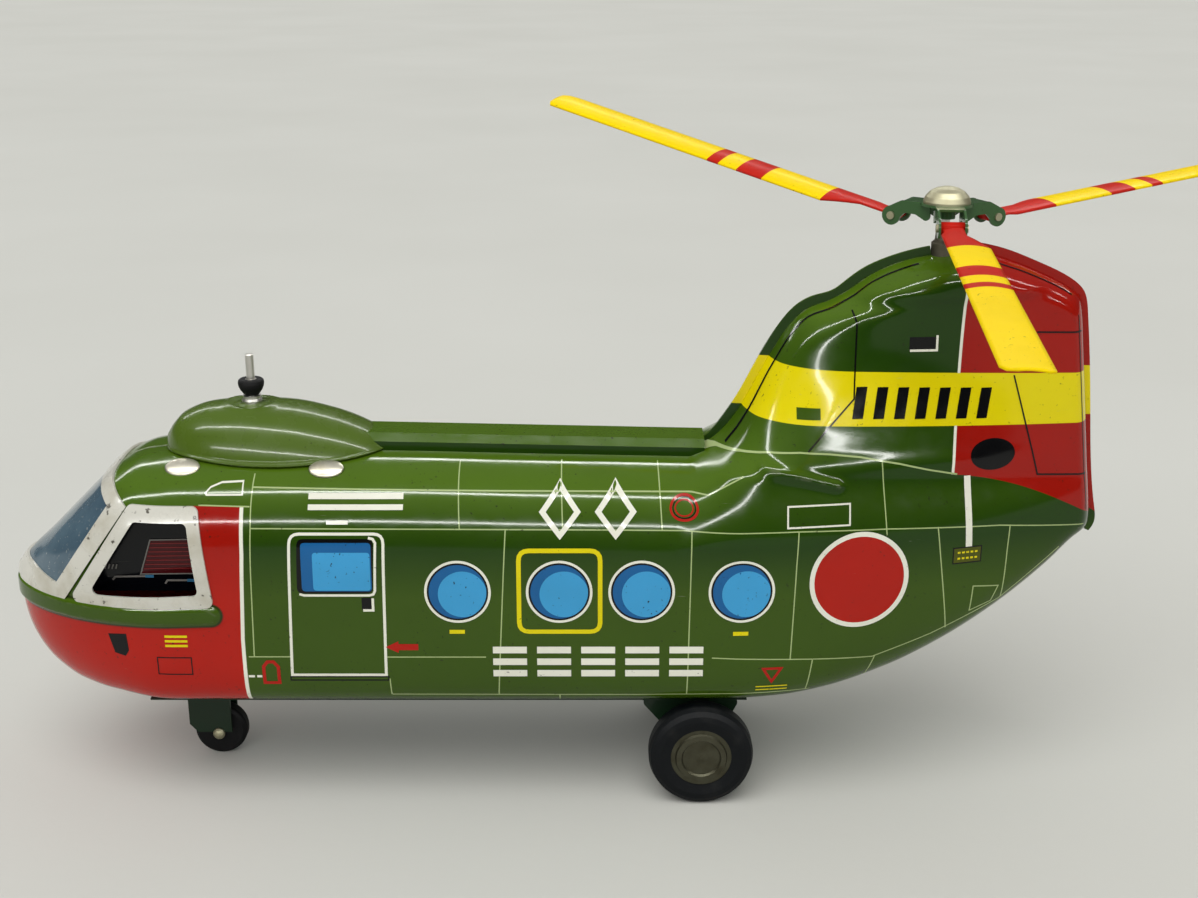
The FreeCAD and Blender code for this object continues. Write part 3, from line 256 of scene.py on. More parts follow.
def body_grid(columns, rays=260):
    """Cross-sections of the +Y half from keel to roof, nose to stern."""
    s = np.concatenate([
        NOSE_X + 34.0 * (1.0 - np.cos(0.5 * math.pi * (np.arange(36) + 0.25) / 36.0)),
        np.arange(-36.0, 178.0, 1.6), np.arange(178.0, 317.0, 1.3),
        320.6 - 3.6 * np.cos(0.5 * math.pi * np.arange(5) / 5.0),
        320.6 + 5.9 * np.sin(0.5 * math.pi * np.arange(9) / 8.0),
    ])[:, None]
    angle = (-0.5 + np.arange(rays + 1) / rays)[None, :] * math.pi
    last = (STERN_TOP[0] - STERN_LOW[0]) / (STERN_TOP[1] - STERN_LOW[1])
    k = last * np.clip((s - 200.0) / (STERN_LOW[0] - 200.0), 0.0, 1.0)
    zc = ray_level(s)
    dy = np.cos(angle) * np.maximum(plan(s, 99.0), 0.05)
    dz = np.sin(angle) * 0.5 * (np.maximum(roof(s), pylon_top(s)) - keel(s))
    near = np.zeros(np.broadcast(dy, dz).shape)
    far = near + 3.2
    for _ in range(HALVINGS):
        mid = 0.5 * (near + far)
        z = zc + dz * mid
        inside = field(s + k * (z - STERN_LOW[1]), dy * mid, z) < 0.0
        near = np.where(inside, mid, near)
        far = np.where(inside, far, mid)
    z = zc + dz * near
    found = np.stack([s + k * (z - STERN_LOW[1]), dy * near, z], -1)
    found[:, 0, 1] = 0.0
    found[:, -1, 1] = 0.0
    rows = []
    for line in found:
        reach = np.concatenate([[0.0], np.cumsum(np.linalg.norm(np.diff(line, axis=0), axis=1))])
        want = np.linspace(0.0, reach[-1], columns)
        rows.append(np.stack([np.interp(want, reach, line[:, i]) for i in range(3)], -1))
    return np.array(rows)


# ------------------------------------------------------------------ mesh helpers
def link(thing):
    bpy.context.scene.collection.objects.link(thing)


def add_mesh(name, verts, faces, body, slot, smooth_faces=True):
    """New piece from points in millimetres, riding on a body."""
    mesh = bpy.data.meshes.new(name)
    mesh.from_pydata([tuple(p) for p in np.asarray(verts, float) * MM], [], faces)
    mesh.validate()
    if smooth_faces:
        mesh.shade_smooth()
    piece = bpy.data.objects.new(name, mesh)
    link(piece)
    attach(piece, body)
    return piece


def grid_faces(rows, columns, flip=False):
    faces = []
    for i in range(rows - 1):
        for j in range(columns - 1):
            a = i * columns + j
            quad = (a, a + 1, a + columns + 1, a + columns)
            faces.append(quad[::-1] if flip else quad)
    return faces


def thicken(piece, depth):
    """Gives a sheet its metal thickness, inward."""
    mod = piece.modifiers.new("sheet", "SOLIDIFY")
    mod.thickness = depth * MM
    mod.offset = -1.0
    return piece


def inside_polygon(x, z, points, grow=0.0):
    """True where side-view points lie in a polygon, or within grow of its border."""
    inside = np.zeros(x.shape, bool)
    near = np.full(x.shape, 1e9)
    for i, b in enumerate(points):
        a = points[i - 1]
        near = np.minimum(near, to_segment(x, z, a, b))
        crosses = (a[1] > z) != (b[1] > z)
        at = (b[0] - a[0]) * (z - a[1]) / ((b[1] - a[1]) or 1e-9) + a[0]
        inside ^= crosses & (x < at)
    return inside | (near < grow)


# ------------------------------------------------------------------ node materials
class Net:
    """A material's node tree with short calls for the nodes used here."""

    def __init__(self, name):
        self.mat = bpy.data.materials.new(name)
        self.mat.use_nodes = True
        self.tree = self.mat.node_tree
        self.bsdf = self.tree.nodes["Principled BSDF"]
        self.place = self.node("ShaderNodeTexCoord").outputs["Object"]
        split = self.node("ShaderNodeSeparateXYZ")
        self.feed(split.inputs[0], self.place)
        self.x = self.math("MULTIPLY", split.outputs[0], 1000.0)
        self.y = self.math("MULTIPLY", split.outputs[1], 1000.0)
        self.z = self.math("MULTIPLY", split.outputs[2], 1000.0)

    def node(self, kind):
        return self.tree.nodes.new(kind)

    def feed(self, socket, value):
        if isinstance(value, bpy.types.NodeSocket):
            self.tree.links.new(value, socket)
        elif isinstance(value, tuple) and len(value) == 3 and socket.type == "RGBA":
            socket.default_value = (*value, 1.0)
        else:
            socket.default_value = value

    def math(self, op, a, b=0.0, clamp=False):
        n = self.node("ShaderNodeMath")
        n.operation = op
        n.use_clamp = clamp
        self.feed(n.inputs[0], a)
        self.feed(n.inputs[1], b)
        return n.outputs[0]

    def add(self, a, b):
        return self.math("ADD", a, b)

    def sub(self, a, b):
        return self.math("SUBTRACT", a, b)

    def mul(self, a, b):
        return self.math("MULTIPLY", a, b)

    def apart(self, a, b):
        return self.math("ABSOLUTE", self.sub(a, b))

    def both(self, *masks):
        out = masks[0]
        for m in masks[1:]:
            out = self.mul(out, m)
        return out

    def either(self, a, b):
        return self.math("MAXIMUM", a, b)

    def inverse(self, a):
        return self.sub(1.0, a)

    def above(self, value, limit, blur=0.12):
        """1 where value is above limit, with an edge as wide as blur."""
        return self.math("ADD", self.mul(self.sub(value, limit), 1.0 / blur), 0.5, clamp=True)

    def below(self, value, limit, blur=0.12):
        return self.inverse(self.above(value, limit, blur))

    def line(self, value, start, slope, origin):
        """start + slope * (value - origin)."""
        return self.add(self.mul(self.sub(value, origin), slope), start)

    def mix(self, factor, a, b, mode="MIX"):
        n = self.node("ShaderNodeMix")
        n.data_type = "RGBA"
        n.blend_type = mode
        self.feed(n.inputs[0], factor)
        self.feed(n.inputs[6], a)
        self.feed(n.inputs[7], b)
        return n.outputs[2]

    def noise(self, scale, detail=3.0, stretch=(1.0, 1.0, 1.0), rough=0.55):
        place = self.node("ShaderNodeMapping")
        self.feed(place.inputs["Vector"], self.place)
        place.inputs["Scale"].default_value = stretch
        n = self.node("ShaderNodeTexNoise")
        self.feed(n.inputs["Vector"], place.outputs[0])
        n.inputs["Scale"].default_value = scale
        n.inputs["Detail"].default_value = detail
        n.inputs["Roughness"].default_value = rough
        return n.outputs["Fac"]

    def step(self, value, low, high):
        n = self.node("ShaderNodeMapRange")
        self.feed(n.inputs["Value"], value)
        n.inputs["From Min"].default_value = low
        n.inputs["From Max"].default_value = high
        return n.outputs["Result"]

    def edges(self):
        """Mask of convex edges."""
        geo = self.node("ShaderNodeNewGeometry")
        return self.step(geo.outputs["Pointiness"], 0.52, 0.6)

    def bump(self, height, strength, distance):
        n = self.node("ShaderNodeBump")
        n.inputs["Strength"].default_value = strength
        n.inputs["Distance"].default_value = distance
        self.feed(n.inputs["Height"], height)
        self.feed(self.bsdf.inputs["Normal"], n.outputs[0])

    def put(self, **values):
        for name, value in values.items():
            self.feed(self.bsdf.inputs[name.replace("_", " ")], value)
        return self.mat


def srgb(r, g, b):
    """Linear colour from 0-255 display values."""
    out = []
    for v in (r, g, b):
        c = v / 255.0
        out.append(c / 12.92 if c <= 0.04045 else ((c + 0.055) / 1.055) ** 2.4)
    return tuple(out)


GREEN = srgb(58, 84, 12)
# painted shade: green for high on the sides, darker than the painted floor reflection low down
SHADED_HIGH_GREEN = srgb(32, 62, 6)
# painted highlight: lighter green where the skin faces up
LIT_TOP_GREEN = srgb(76, 106, 20)
RED = srgb(178, 24, 8)
# painted shade: red for high on the sides, darker than the painted floor reflection low down
SHADED_HIGH_RED = srgb(158, 20, 8)
YELLOW = srgb(230, 213, 2)
WHITE = srgb(238, 238, 224)
CREAM = srgb(206, 204, 194)
BLACK = srgb(10, 10, 12)
BLUE = srgb(64, 160, 216)
DEEP_BLUE = srgb(24, 96, 156)
PANEL_LINE = srgb(172, 190, 130)
OLIVE = srgb(78, 84, 10)
TIN = srgb(150, 146, 132)
GRIME = srgb(34, 30, 20)


def tin_print(net, colour, wear=1.0, gloss=0.1, rubbed=True, shine=1.0):
    """Glossy printed tin: tone drift, fine specks, hair scratches and rubbed edges.

    shine scales the coat, the highlights and the ripple of the sheet alike.
    """
    drift = net.step(net.noise(38.0, 4.0), 0.3, 0.7)
    aged = net.mix(1.0, colour, (0.62, 0.6, 0.52), "MULTIPLY")
    colour = net.mix(net.mul(drift, 0.22), colour, aged)
    specks = net.step(net.noise(800.0, 2.0), 0.67, 0.72)
    patches = net.step(net.noise(60.0, 2.0), 0.42, 0.62)
    colour = net.mix(net.mul(net.mul(specks, patches), 0.75 * wear), colour, GRIME)
    scratch = net.step(net.noise(420.0, 3.0, (0.12, 1.0, 1.6)), 0.74, 0.79)
    colour = net.mix(net.mul(scratch, 0.4 * wear), colour, TIN)
    if rubbed:
        chips = net.mul(net.edges(), net.step(net.noise(230.0, 3.0), 0.48, 0.58))
        colour = net.mix(net.mul(chips, 0.6 * wear), colour, TIN)
    rough = net.add(gloss, net.mul(net.step(net.noise(140.0, 5.0), 0.35, 0.7), 0.1))
    ripple = net.add(net.noise(26.0, 2.0), net.mul(net.noise(900.0, 2.0), 0.04))
    net.bump(ripple, 0.2 * shine, 0.0014)
    return net.put(Base_Color=colour, Roughness=rough, Coat_Weight=0.24 * shine,
                   Coat_Roughness=0.08, Specular_IOR_Level=0.14 * shine)


def ink(name, colour, wear=1.0):
    return tin_print(Net(name), colour, wear, rubbed=False)


BAND_TOP = (206.0, 158.9)
BAND_LOW = (196.0, 141.0)
BAND_SLOPE = -0.0324
TAIL_LINE = (270.5, 122.6)
TAIL_SLOPE = 0.036
NOSE_LINE_X = 21.6
NOSE_RED_TOP = 114.0


def body_paint(name, rubbed=True):
    """Print of the two body halves: red nose, yellow band, red tail and their white borders."""
    net = Net(name)
    x, z = net.x, net.z
    # the border leans back above mid height
    border = net.add(NOSE_LINE_X - 1.2, net.mul(net.step(z, 66.0, 98.0), 1.6))
    ahead = net.below(x, border)
    along = net.sub(net.math("MAXIMUM", x, BELT_END[0]), BELT_END[0])
    centre = net.line(x, BELT_END[1], (BELT_END[1] - BELT_START[1]) / (BELT_END[0] - BELT_START[0]),
                      BELT_END[0])
    aside = net.sub(z, centre)
    reach = net.math("SQRT", net.add(net.mul(along, along), net.mul(aside, aside)))
    belt = net.below(reach, BELT_HALF + 0.2)
    # between the windscreen and the cab window the print is green
    red_low = net.below(z, centre)
    behind_window = net.above(x, 3.0)
    red_nose = net.both(ahead, net.below(z, NOSE_RED_TOP), net.inverse(belt),
                        net.either(red_low, behind_window))
    tail_x = net.line(z, TAIL_LINE[0], TAIL_SLOPE, TAIL_LINE[1])
    u = net.mul(net.sub(x, 272.0), 0.02)
    tail_z = net.sub(121.6, net.add(net.mul(u, 6.5), net.mul(net.mul(u, u), 11.3)))
    red_tail = net.both(net.above(x, tail_x), net.above(z, tail_z))
    band = net.both(
        net.above(z, net.line(x, BAND_LOW[1], BAND_SLOPE, BAND_LOW[0])),
        net.below(z, net.line(x, BAND_TOP[1], BAND_SLOPE, BAND_TOP[0])),
        net.above(x, 150.0),
    )
    # painted light: the print is darker high on the sides, a painted shade against the painted floor reflection
    # low down, and lighter where it faces up, a painted highlight
    geometry = net.node("ShaderNodeNewGeometry")
    facing = net.node("ShaderNodeSeparateXYZ")
    net.feed(facing.inputs[0], geometry.outputs["Normal"])
    high = net.step(z, 82.0, 100.0)
    painted_top_highlight = net.step(facing.outputs[2], 0.15, 0.8)
    green = net.mix(painted_top_highlight, net.mix(high, GREEN, SHADED_HIGH_GREEN), LIT_TOP_GREEN)
    colour = net.mix(net.either(red_nose, red_tail), green, net.mix(high, RED, SHADED_HIGH_RED))
    colour = net.mix(band, colour, YELLOW)
    width = net.apart(x, border)
    edge = net.both(net.below(width, 0.65), net.below(z, NOSE_RED_TOP))
    width = net.apart(x, tail_x)
    tail_edge = net.both(net.below(width, 0.5), net.inverse(band), net.above(z, 121.8))
    colour = net.mix(net.either(edge, tail_edge), colour, WHITE)
    # dark soft outline of the belt pressing
    rim = net.both(net.below(net.apart(reach, BELT_HALF), 0.5, 0.5), ahead)
    colour = net.mix(net.mul(rim, 0.65), colour, GRIME)
    return tin_print(net, colour, rubbed=rubbed)


def enamel(name, colour, gloss=0.16, wear=1.0, shine=1.0):
    return tin_print(Net(name), colour, wear, gloss, rubbed=False, shine=shine)


def worn_white(name):
    """Off-white enamel with brown stains and small places rubbed through to dark metal."""
    net = Net(name)
    stain = net.step(net.noise(70.0, 5.0), 0.45, 0.72)
    colour = net.mix(net.mul(stain, 0.55), CREAM, srgb(150, 140, 108))
    rub = net.step(net.noise(330.0, 4.0), 0.64, 0.7)
    colour = net.mix(net.mul(rub, 0.9), colour, srgb(64, 58, 46))
    net.bump(net.noise(420.0, 3.0), 0.2, 0.0003)
    return net.put(Base_Color=colour, Roughness=net.add(0.24, net.mul(stain, 0.2)), Coat_Weight=0.3,
                   Coat_Roughness=0.08)


def metal(name, colour, rough, brushed=(1.0, 1.0, 1.0), tarnish=0.4):
    """Bare or plated metal with brush lines and a little tarnish."""
    net = Net(name)
    dull = net.step(net.noise(150.0, 4.0), 0.4, 0.72)
    shade = net.mix(1.0, colour, (0.5, 0.46, 0.38), "MULTIPLY")
    colour = net.mix(net.mul(dull, tarnish), colour, shade)
    grain = net.noise(900.0, 3.0, brushed)
    net.bump(grain, 0.12, 0.0002)
    rough = net.add(rough, net.mul(net.add(dull, grain), 0.12))
    return net.put(Base_Color=colour, Metallic=1.0, Roughness=rough)


def rubber(name, colour, rough=0.62):
    """Moulded rubber with dust in its grain."""
    net = Net(name)
    dust = net.step(net.noise(120.0, 6.0), 0.55, 0.85)
    colour = net.mix(net.mul(dust, 0.1), colour, srgb(96, 92, 84))
    net.bump(net.noise(1400.0, 3.0), 0.3, 0.0003)
    return net.put(Base_Color=colour, Roughness=net.add(rough, net.mul(dust, 0.15)),
                   Specular_IOR_Level=0.16)


def plastic(name, colour, rough=0.4):
    net = Net(name)
    tone = net.step(net.noise(60.0, 3.0), 0.3, 0.7)
    colour = net.mix(net.mul(tone, 0.2), colour, net.mix(1.0, colour, (0.7, 0.68, 0.6), "MULTIPLY"))
    net.bump(net.noise(1100.0, 2.0), 0.15, 0.0002)
    return net.put(Base_Color=colour, Roughness=rough)


def smoked_sheet(name):
    """Thin blue-grey clear sheet, hazed and dusty in patches."""
    net = Net(name)
    haze = net.step(net.noise(34.0, 4.0), 0.3, 0.75)
    colour = net.mix(haze, srgb(52, 74, 92), srgb(92, 116, 130))
    dust = net.step(net.noise(800.0, 3.0), 0.62, 0.72)
    colour = net.mix(net.mul(dust, 0.35), colour, srgb(190, 190, 180))
    return net.put(Base_Color=colour, Roughness=net.add(0.1, net.mul(dust, 0.3)),
                   Alpha=net.add(0.8, net.mul(haze, 0.14)), Coat_Weight=0.3, Coat_Roughness=0.04,
                   Specular_IOR_Level=0.35)


def printed_cell(name):
    """Battery jacket: plain dark sleeve with a bare metal end."""
    net = Net(name)
    colour = net.mix(net.above(net.x, 96.0), srgb(60, 58, 54), srgb(176, 120, 60))
    net.bump(net.noise(500.0, 2.0), 0.1, 0.0002)
    return net.put(Base_Color=colour, Roughness=0.35, Metallic=0.6)


# ------------------------------------------------------------------ body halves and fairing
GLASS_HOLE = [
    (-80.0, 85.8), (-60.0, 84.6), (-48.3, 82.0), (-26.2, 112.6), (-35.8, 120.6), (-50.0, 132.4),
    (-80.0, 132.4),
]
CAB_HOLE = [(-34.6, 80.8), (-15.8, 108.8), (3.0, 108.8), (6.0, 83.0)]
BELLY_X = (-14.0, 196.0)
BELLY_HALF = 27.2
FRONT_X = JOINTS["front_rotor_spin"]["pos_m"][0] / MM
REAR_X = JOINTS["rear_rotor_spin"]["pos_m"][0] / MM


def body_halves(paint):
    grid = body_grid(150)
    rows, columns = grid.shape[:2]
    x, y, z = (grid[..., i] for i in range(3))
    normal = gradient(x, y, z)
    normal[:, (0, -1), 1] = 0.0
    verts = (grid + normal * emboss(x, z)[..., None]).reshape(-1, 3)
    quads = np.array(grid_faces(rows, columns))
    mid = verts[quads].mean(1)
    hole = inside_polygon(mid[:, 0], mid[:, 2], GLASS_HOLE, 1.0)
    hole |= inside_polygon(mid[:, 0], mid[:, 2], CAB_HOLE, 1.2)
    hole |= ((mid[:, 0] > BELLY_X[0]) & (mid[:, 0] < BELLY_X[1])
             & (mid[:, 1] < BELLY_HALF) & (mid[:, 2] < 45.0))
    for axis_x, reach in ((FRONT_X, 4.0), (REAR_X, 3.4)):
        hole |= (np.hypot(mid[:, 0] - axis_x, mid[:, 1]) < reach) & (mid[:, 2] > 110.0)
    kept = quads[~hole]
    used, index = np.unique(kept, return_inverse=True)
    kept = index.reshape(kept.shape)
    verts = verts[used]
    for name, side in (("right", 1.0), ("left", -1.0)):
        faces = [tuple(q) if side > 0.0 else tuple(q[::-1]) for q in kept.tolist()]
        piece = add_mesh(name + "_skin", verts * (1.0, side, 1.0), faces, "airframe", "green_tin")
        thicken(piece, WALL)
        piece.data.materials.append(paint)
        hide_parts(name + "_body_shell")


FAIRING_MID = 32.0
FAIRING_LEN = 42.5
FAIRING_HALF = 22.5
FAIRING_BASE = 114.0
FAIRING_RING = 8.8
fairing_top = curve([
    (-10.5, 129.0), (-7.5, 133.6), (-4.0, 137.0), (6.0, 140.4), (19.0, 141.4), (34.0, 140.4),
    (48.0, 137.4), (61.0, 132.6), (70.0, 126.9), (74.5, 122.5),
])


def fairing_point(a, b):
    """Point of the fairing at plan angle a and rise angle b."""
    x = FAIRING_MID - FAIRING_LEN * np.cos(a)
    half = FAIRING_HALF * np.abs(np.sin(a)) ** (2.0 / 2.3)
    y = half * np.cos(b) ** 0.8
    z = FAIRING_BASE + (fairing_top(x) - FAIRING_BASE) * np.sin(b) ** 0.8
    return x, y, z


def fairing(paint):
    """Pressed dome over the front shaft with a turned-out lip just clear of the roof."""
    a = np.linspace(0.004, math.pi - 0.004, 97)
    low = np.zeros_like(a)
    high = np.full_like(a, 0.5 * math.pi)
    for _ in range(30):
        mid = 0.5 * (low + high)
        inside = field(*fairing_point(a, mid)) < 0.45
        low = np.where(inside, mid, low)
        high = np.where(inside, high, mid)
    share = np.linspace(0.0, 1.0, 41) ** 0.8
    b = low[:, None] + (0.5 * math.pi - low[:, None]) * share[None, :]
    x, y, z = fairing_point(a[:, None], b)
    x = np.broadcast_to(x, y.shape)
    ring = np.hypot(x - FRONT_X, y)
    z = z + 0.55 * np.exp(-((ring - FAIRING_RING) / 0.8) ** 2) - 0.35 * smooth((8.0 - ring) / 1.2)
    dome = np.stack([x, y, z], -1)
    # lip: out along the roof from the first row
    out = dome[:, 0] - dome[:, 6]
    out[:, 2] = 0.0
    out /= np.maximum(np.linalg.norm(out, axis=1, keepdims=True), 1e-6)
    lip = dome[:, 0] + out * 1.3
    lip[:, 2] -= 0.35
    dome[:, 0, 2] += 0.1
    half = np.concatenate([lip[:, None], dome], axis=1)
    half[:, -1, 1] = 0.0
    rows, columns = half.shape[:2]
    verts = np.concatenate([half.reshape(-1, 3), (half * (1.0, -1.0, 1.0)).reshape(-1, 3)])
    faces = grid_faces(rows, columns, flip=True)
    shift = rows * columns
    faces += [tuple(i + shift for i in q[::-1]) for q in faces]
    shaft_hole = 3.3
    faces = [q for q in faces
             if np.hypot(*(verts[list(q)].mean(0)[:2] - (FRONT_X, 0.0))) > shaft_hole]
    piece = add_mesh("fairing_dome", verts, faces, "airframe", "green_tin")
    weld(piece)
    thicken(piece, WALL)
    piece.data.materials.append(paint)
    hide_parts("front_fairing")


def weld(piece, gap=0.02):
    """Joins the halves of a mirrored mesh and drops points that no face uses."""
    bm = bmesh.new()
    bm.from_mesh(piece.data)
    bmesh.ops.delete(bm, geom=[v for v in bm.verts if not v.link_faces], context="VERTS")
    bmesh.ops.remove_doubles(bm, verts=bm.verts, dist=gap * MM)
    bm.to_mesh(piece.data)
    bm.free()


# ------------------------------------------------------------------ rotor blades
BLADE_L = 150.8
BLADE_W = 14.0
BLADE_SHIFT = 2.5
BLADE_T = 0.7
CAMBER = 1.0
HALF_ROOT = 3.4
BLADE_STRIPES = [26.0, 51.0, 62.0, 70.0, 75.0]     # red to the first, then yellow, red, ...
BLADES = {"near": (-3.0, 0.0), "left": (12.0, -9.0), "right": (5.4, 0.0)}   # rise and roll


def blade(name, rise, roll, red, yellow):
    lead = BLADE_SHIFT - 0.5 * BLADE_W
    trail = BLADE_SHIFT + 0.5 * BLADE_W
    lead_line = [(1.2, -HALF_ROOT), (6.0, -HALF_ROOT), (9.0, lead), (BLADE_L - 5.0, lead),
                 (BLADE_L - 1.4, lead + 1.4), (BLADE_L, lead + 4.0)]
    trail_line = [(1.2, HALF_ROOT), (13.0, HALF_ROOT), (26.0, trail), (BLADE_L - 1.2, trail),
                  (BLADE_L, trail - 1.6)]
    spans = {round(s, 3) for s, _ in lead_line + trail_line} | set(BLADE_STRIPES)
    spans |= set(np.arange(2.0, BLADE_L - 6.0, 3.0).round(3))
    spans = np.array(sorted(spans))
    front = np.interp(spans, *zip(*lead_line))
    back = np.interp(spans, *zip(*trail_line))
    chord = 13
    bend = (0.25 * BLADE_W ** 2 + CAMBER ** 2) / (2.0 * CAMBER)
    y = front[:, None] + (back - front)[:, None] * np.linspace(0.0, 1.0, chord)[None, :]
    z = 0.9 - bend + np.sqrt(bend ** 2 - (y - BLADE_SHIFT) ** 2)
    x = np.broadcast_to(spans[:, None], y.shape)
    verts = np.stack([x, y, z], -1).reshape(-1, 3)
    faces = grid_faces(len(spans), chord)
    faces = [q[::-1] for q in faces]
    stripe = [int(np.searchsorted(BLADE_STRIPES, verts[list(q), 0].mean())) % 2 for q in faces]
    pose = Matrix.Rotation(math.radians(-rise), 4, "Y")
    pose = pose @ Matrix.Rotation(math.radians(roll), 4, "X")
    pivot = Vector(JOINTS[name + "_blade_flap"]["pos_m"]) / MM
    azimuth = math.atan2(pivot.y, pivot.x - REAR_X)
    pose = Matrix.Translation(pivot) @ Matrix.Rotation(azimuth, 4, "Z") @ pose
    # rolled eye round the pin
    turns = 24
    first = len(verts)
    eye = []
    for side in (-HALF_ROOT - 0.3, HALF_ROOT + 0.3):
        for r in (1.7, 0.85):
            for i in range(turns):
                t = 2.0 * math.pi * i / turns
                eye.append((r * math.cos(t), side, r * math.sin(t)))
    verts = np.concatenate([verts, eye])
    for i in range(turns):
        j = (i + 1) % turns
        near, bore, far, far_bore = (first + k * turns for k in range(4))
        faces += [
            (near + i, near + j, far + j, far + i),
            (bore + j, bore + i, far_bore + i, far_bore + j),
            (near + j, near + i, bore + i, bore + j),
            (far + i, far + j, far_bore + j, far_bore + i),
        ]
    stripe += [0] * (4 * turns)
    verts = np.array([pose @ Vector(v) for v in verts])
    piece = add_mesh(name + "_rotor_blade", verts, faces, name + "_blade", "yellow_tin")
    piece.data.materials.append(red)
    piece.data.materials.append(yellow)
    for polygon, index in zip(piece.data.polygons, stripe):
        polygon.material_index = index
    thicken(piece, BLADE_T)
    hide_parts("blade_" + name)


# ------------------------------------------------------------------ printed graphics
STEP = 0.7     # longest stretch of a printed line, so that it follows the curved skin


def ribbon(points, width, closed=False):
    """Strip of even width along a side-view line."""
    pts = [np.array(p, float) for p in points]
    if closed:
        pts.append(pts[0])
    line = []
    for a, b in zip(pts, pts[1:]):
        steps = max(1, int(np.linalg.norm(b - a) / max(STEP, 0.8 * width)))
        line += [a + (b - a) * i / steps for i in range(steps)]
    line = np.array(line if closed else line + [pts[-1]])
    ahead = np.roll(line, -1, 0) - line
    behind = line - np.roll(line, 1, 0)
    if not closed:
        ahead[-1] = behind[-1]
        behind[0] = ahead[0]
    side_a, side_b = (
        np.stack([-d[:, 1], d[:, 0]], 1) / np.linalg.norm(d, axis=1, keepdims=True)
        for d in (ahead, behind)
    )
    joint = side_a + side_b
    joint /= np.maximum(1.0 + (side_a * side_b).sum(1, keepdims=True), 0.4)
    verts = np.concatenate([line + joint * 0.5 * width, line - joint * 0.5 * width])
    n = len(line)
    last = n if closed else n - 1
    faces = [(i, (i + 1) % n, n + (i + 1) % n, n + i) for i in range(last)]
    return verts, faces


def band(outer, inner, cuts=6):
    """Closed strip between two outlines with matching corners."""
    rings = []
    for ring in (outer, inner):
        for a, b in zip(ring, ring[1:] + ring[:1]):
            share = np.linspace(0.0, 1.0, cuts, endpoint=False)[:, None]
            rings.append(np.array(a) + (np.array(b) - np.array(a)) * share)
    verts = np.concatenate(rings)
    n = len(verts) // 2
    return verts, [(i, (i + 1) % n, n + (i + 1) % n, n + i) for i in range(n)]


def fill(points, cell=2.4):
    """Solid patch, cut into cells so that it follows the curved skin."""
    bm = bmesh.new()
    bm.faces.new([bm.verts.new((x, 0.0, z)) for x, z in points])
    for axis in (0, 2):
        low = min(v.co[axis] for v in bm.verts)
        high = max(v.co[axis] for v in bm.verts)
        for cut in np.arange(low + cell, high, cell):
            normal = [0.0, 0.0, 0.0]
            place = [0.0, 0.0, 0.0]
            normal[axis] = 1.0
            place[axis] = float(cut)
            geom = bm.verts[:] + bm.edges[:] + bm.faces[:]
            bmesh.ops.bisect_plane(bm, geom=geom, plane_co=place, plane_no=normal)
    bm.verts.index_update()
    verts = np.array([(v.co.x, v.co.z) for v in bm.verts])
    faces = [tuple(v.index for v in f.verts) for f in bm.faces]
    bm.free()
    return verts, faces


def box_of(x0, z0, x1, z1):
    return [(x0, z0), (x1, z0), (x1, z1), (x0, z1)]


def disc(x, z, rx, rz=None, count=56):
    rz = rx if rz is None else rz
    turn = [2.0 * math.pi * i / count for i in range(count)]
    return [(x + rx * math.cos(t), z + rz * math.sin(t)) for t in turn]


def rounded(points, radius, square=(), steps=5):
    """Side-view outline with rounded corners, apart from the ones numbered in square."""
    out = []
    for i, p in enumerate(points):
        if i in square:
            out.append(p)
            continue
        p = np.array(p, float)
        a = np.array(points[i - 1]) - p
        b = np.array(points[(i + 1) % len(points)]) - p
        a *= radius / np.linalg.norm(a)
        b *= radius / np.linalg.norm(b)
        for t in np.linspace(0.0, 1.0, steps):
            out.append(tuple(p + a * (1.0 - t) ** 2 + b * t ** 2))
    return out


def outward(points, face):
    """The face in the order that turns it away from the body, on the -Y side."""
    p = points[list(face)]
    q = np.roll(p, -1, 0)
    area = (p[:, 0] * q[:, 1] - q[:, 0] * p[:, 1]).sum()
    return face if area > 0.0 else face[::-1]


def merged(shapes):
    """Several (points, faces) shapes as one."""
    verts = []
    faces = []
    for points, polygons in shapes:
        base = len(verts)
        verts += points.tolist()
        faces += [tuple(base + i for i in outward(points, face)) for face in polygons]
    return np.array(verts), faces


def both_sides(left, faces):
    """A print on the -Y side together with its mirror image."""
    count = len(left)
    faces = faces + [tuple(i + count for i in face[::-1]) for face in faces]
    return np.concatenate([left, left * (1.0, -1.0, 1.0)]), faces


class Printer:
    """Collects the shapes of one ink and lays them on both sides of the body."""

    def __init__(self, name, material, slot):
        self.name = name
        self.material = material
        self.slot = slot
        self.shapes = []

    def lay(self, shape, layer=0):
        self.shapes.append((*shape, layer))

    def finish(self):
        verts, faces = merged([shape[:2] for shape in self.shapes])
        lifts = np.concatenate([np.full(len(s[0]), 0.05 + 0.035 * s[2]) for s in self.shapes])
        left = skin(verts[:, 0], verts[:, 1], lifts) * (1.0, -1.0, 1.0)
        piece = add_mesh(self.name, *both_sides(left, faces), "airframe", self.slot)
        piece.data.materials.append(self.material)


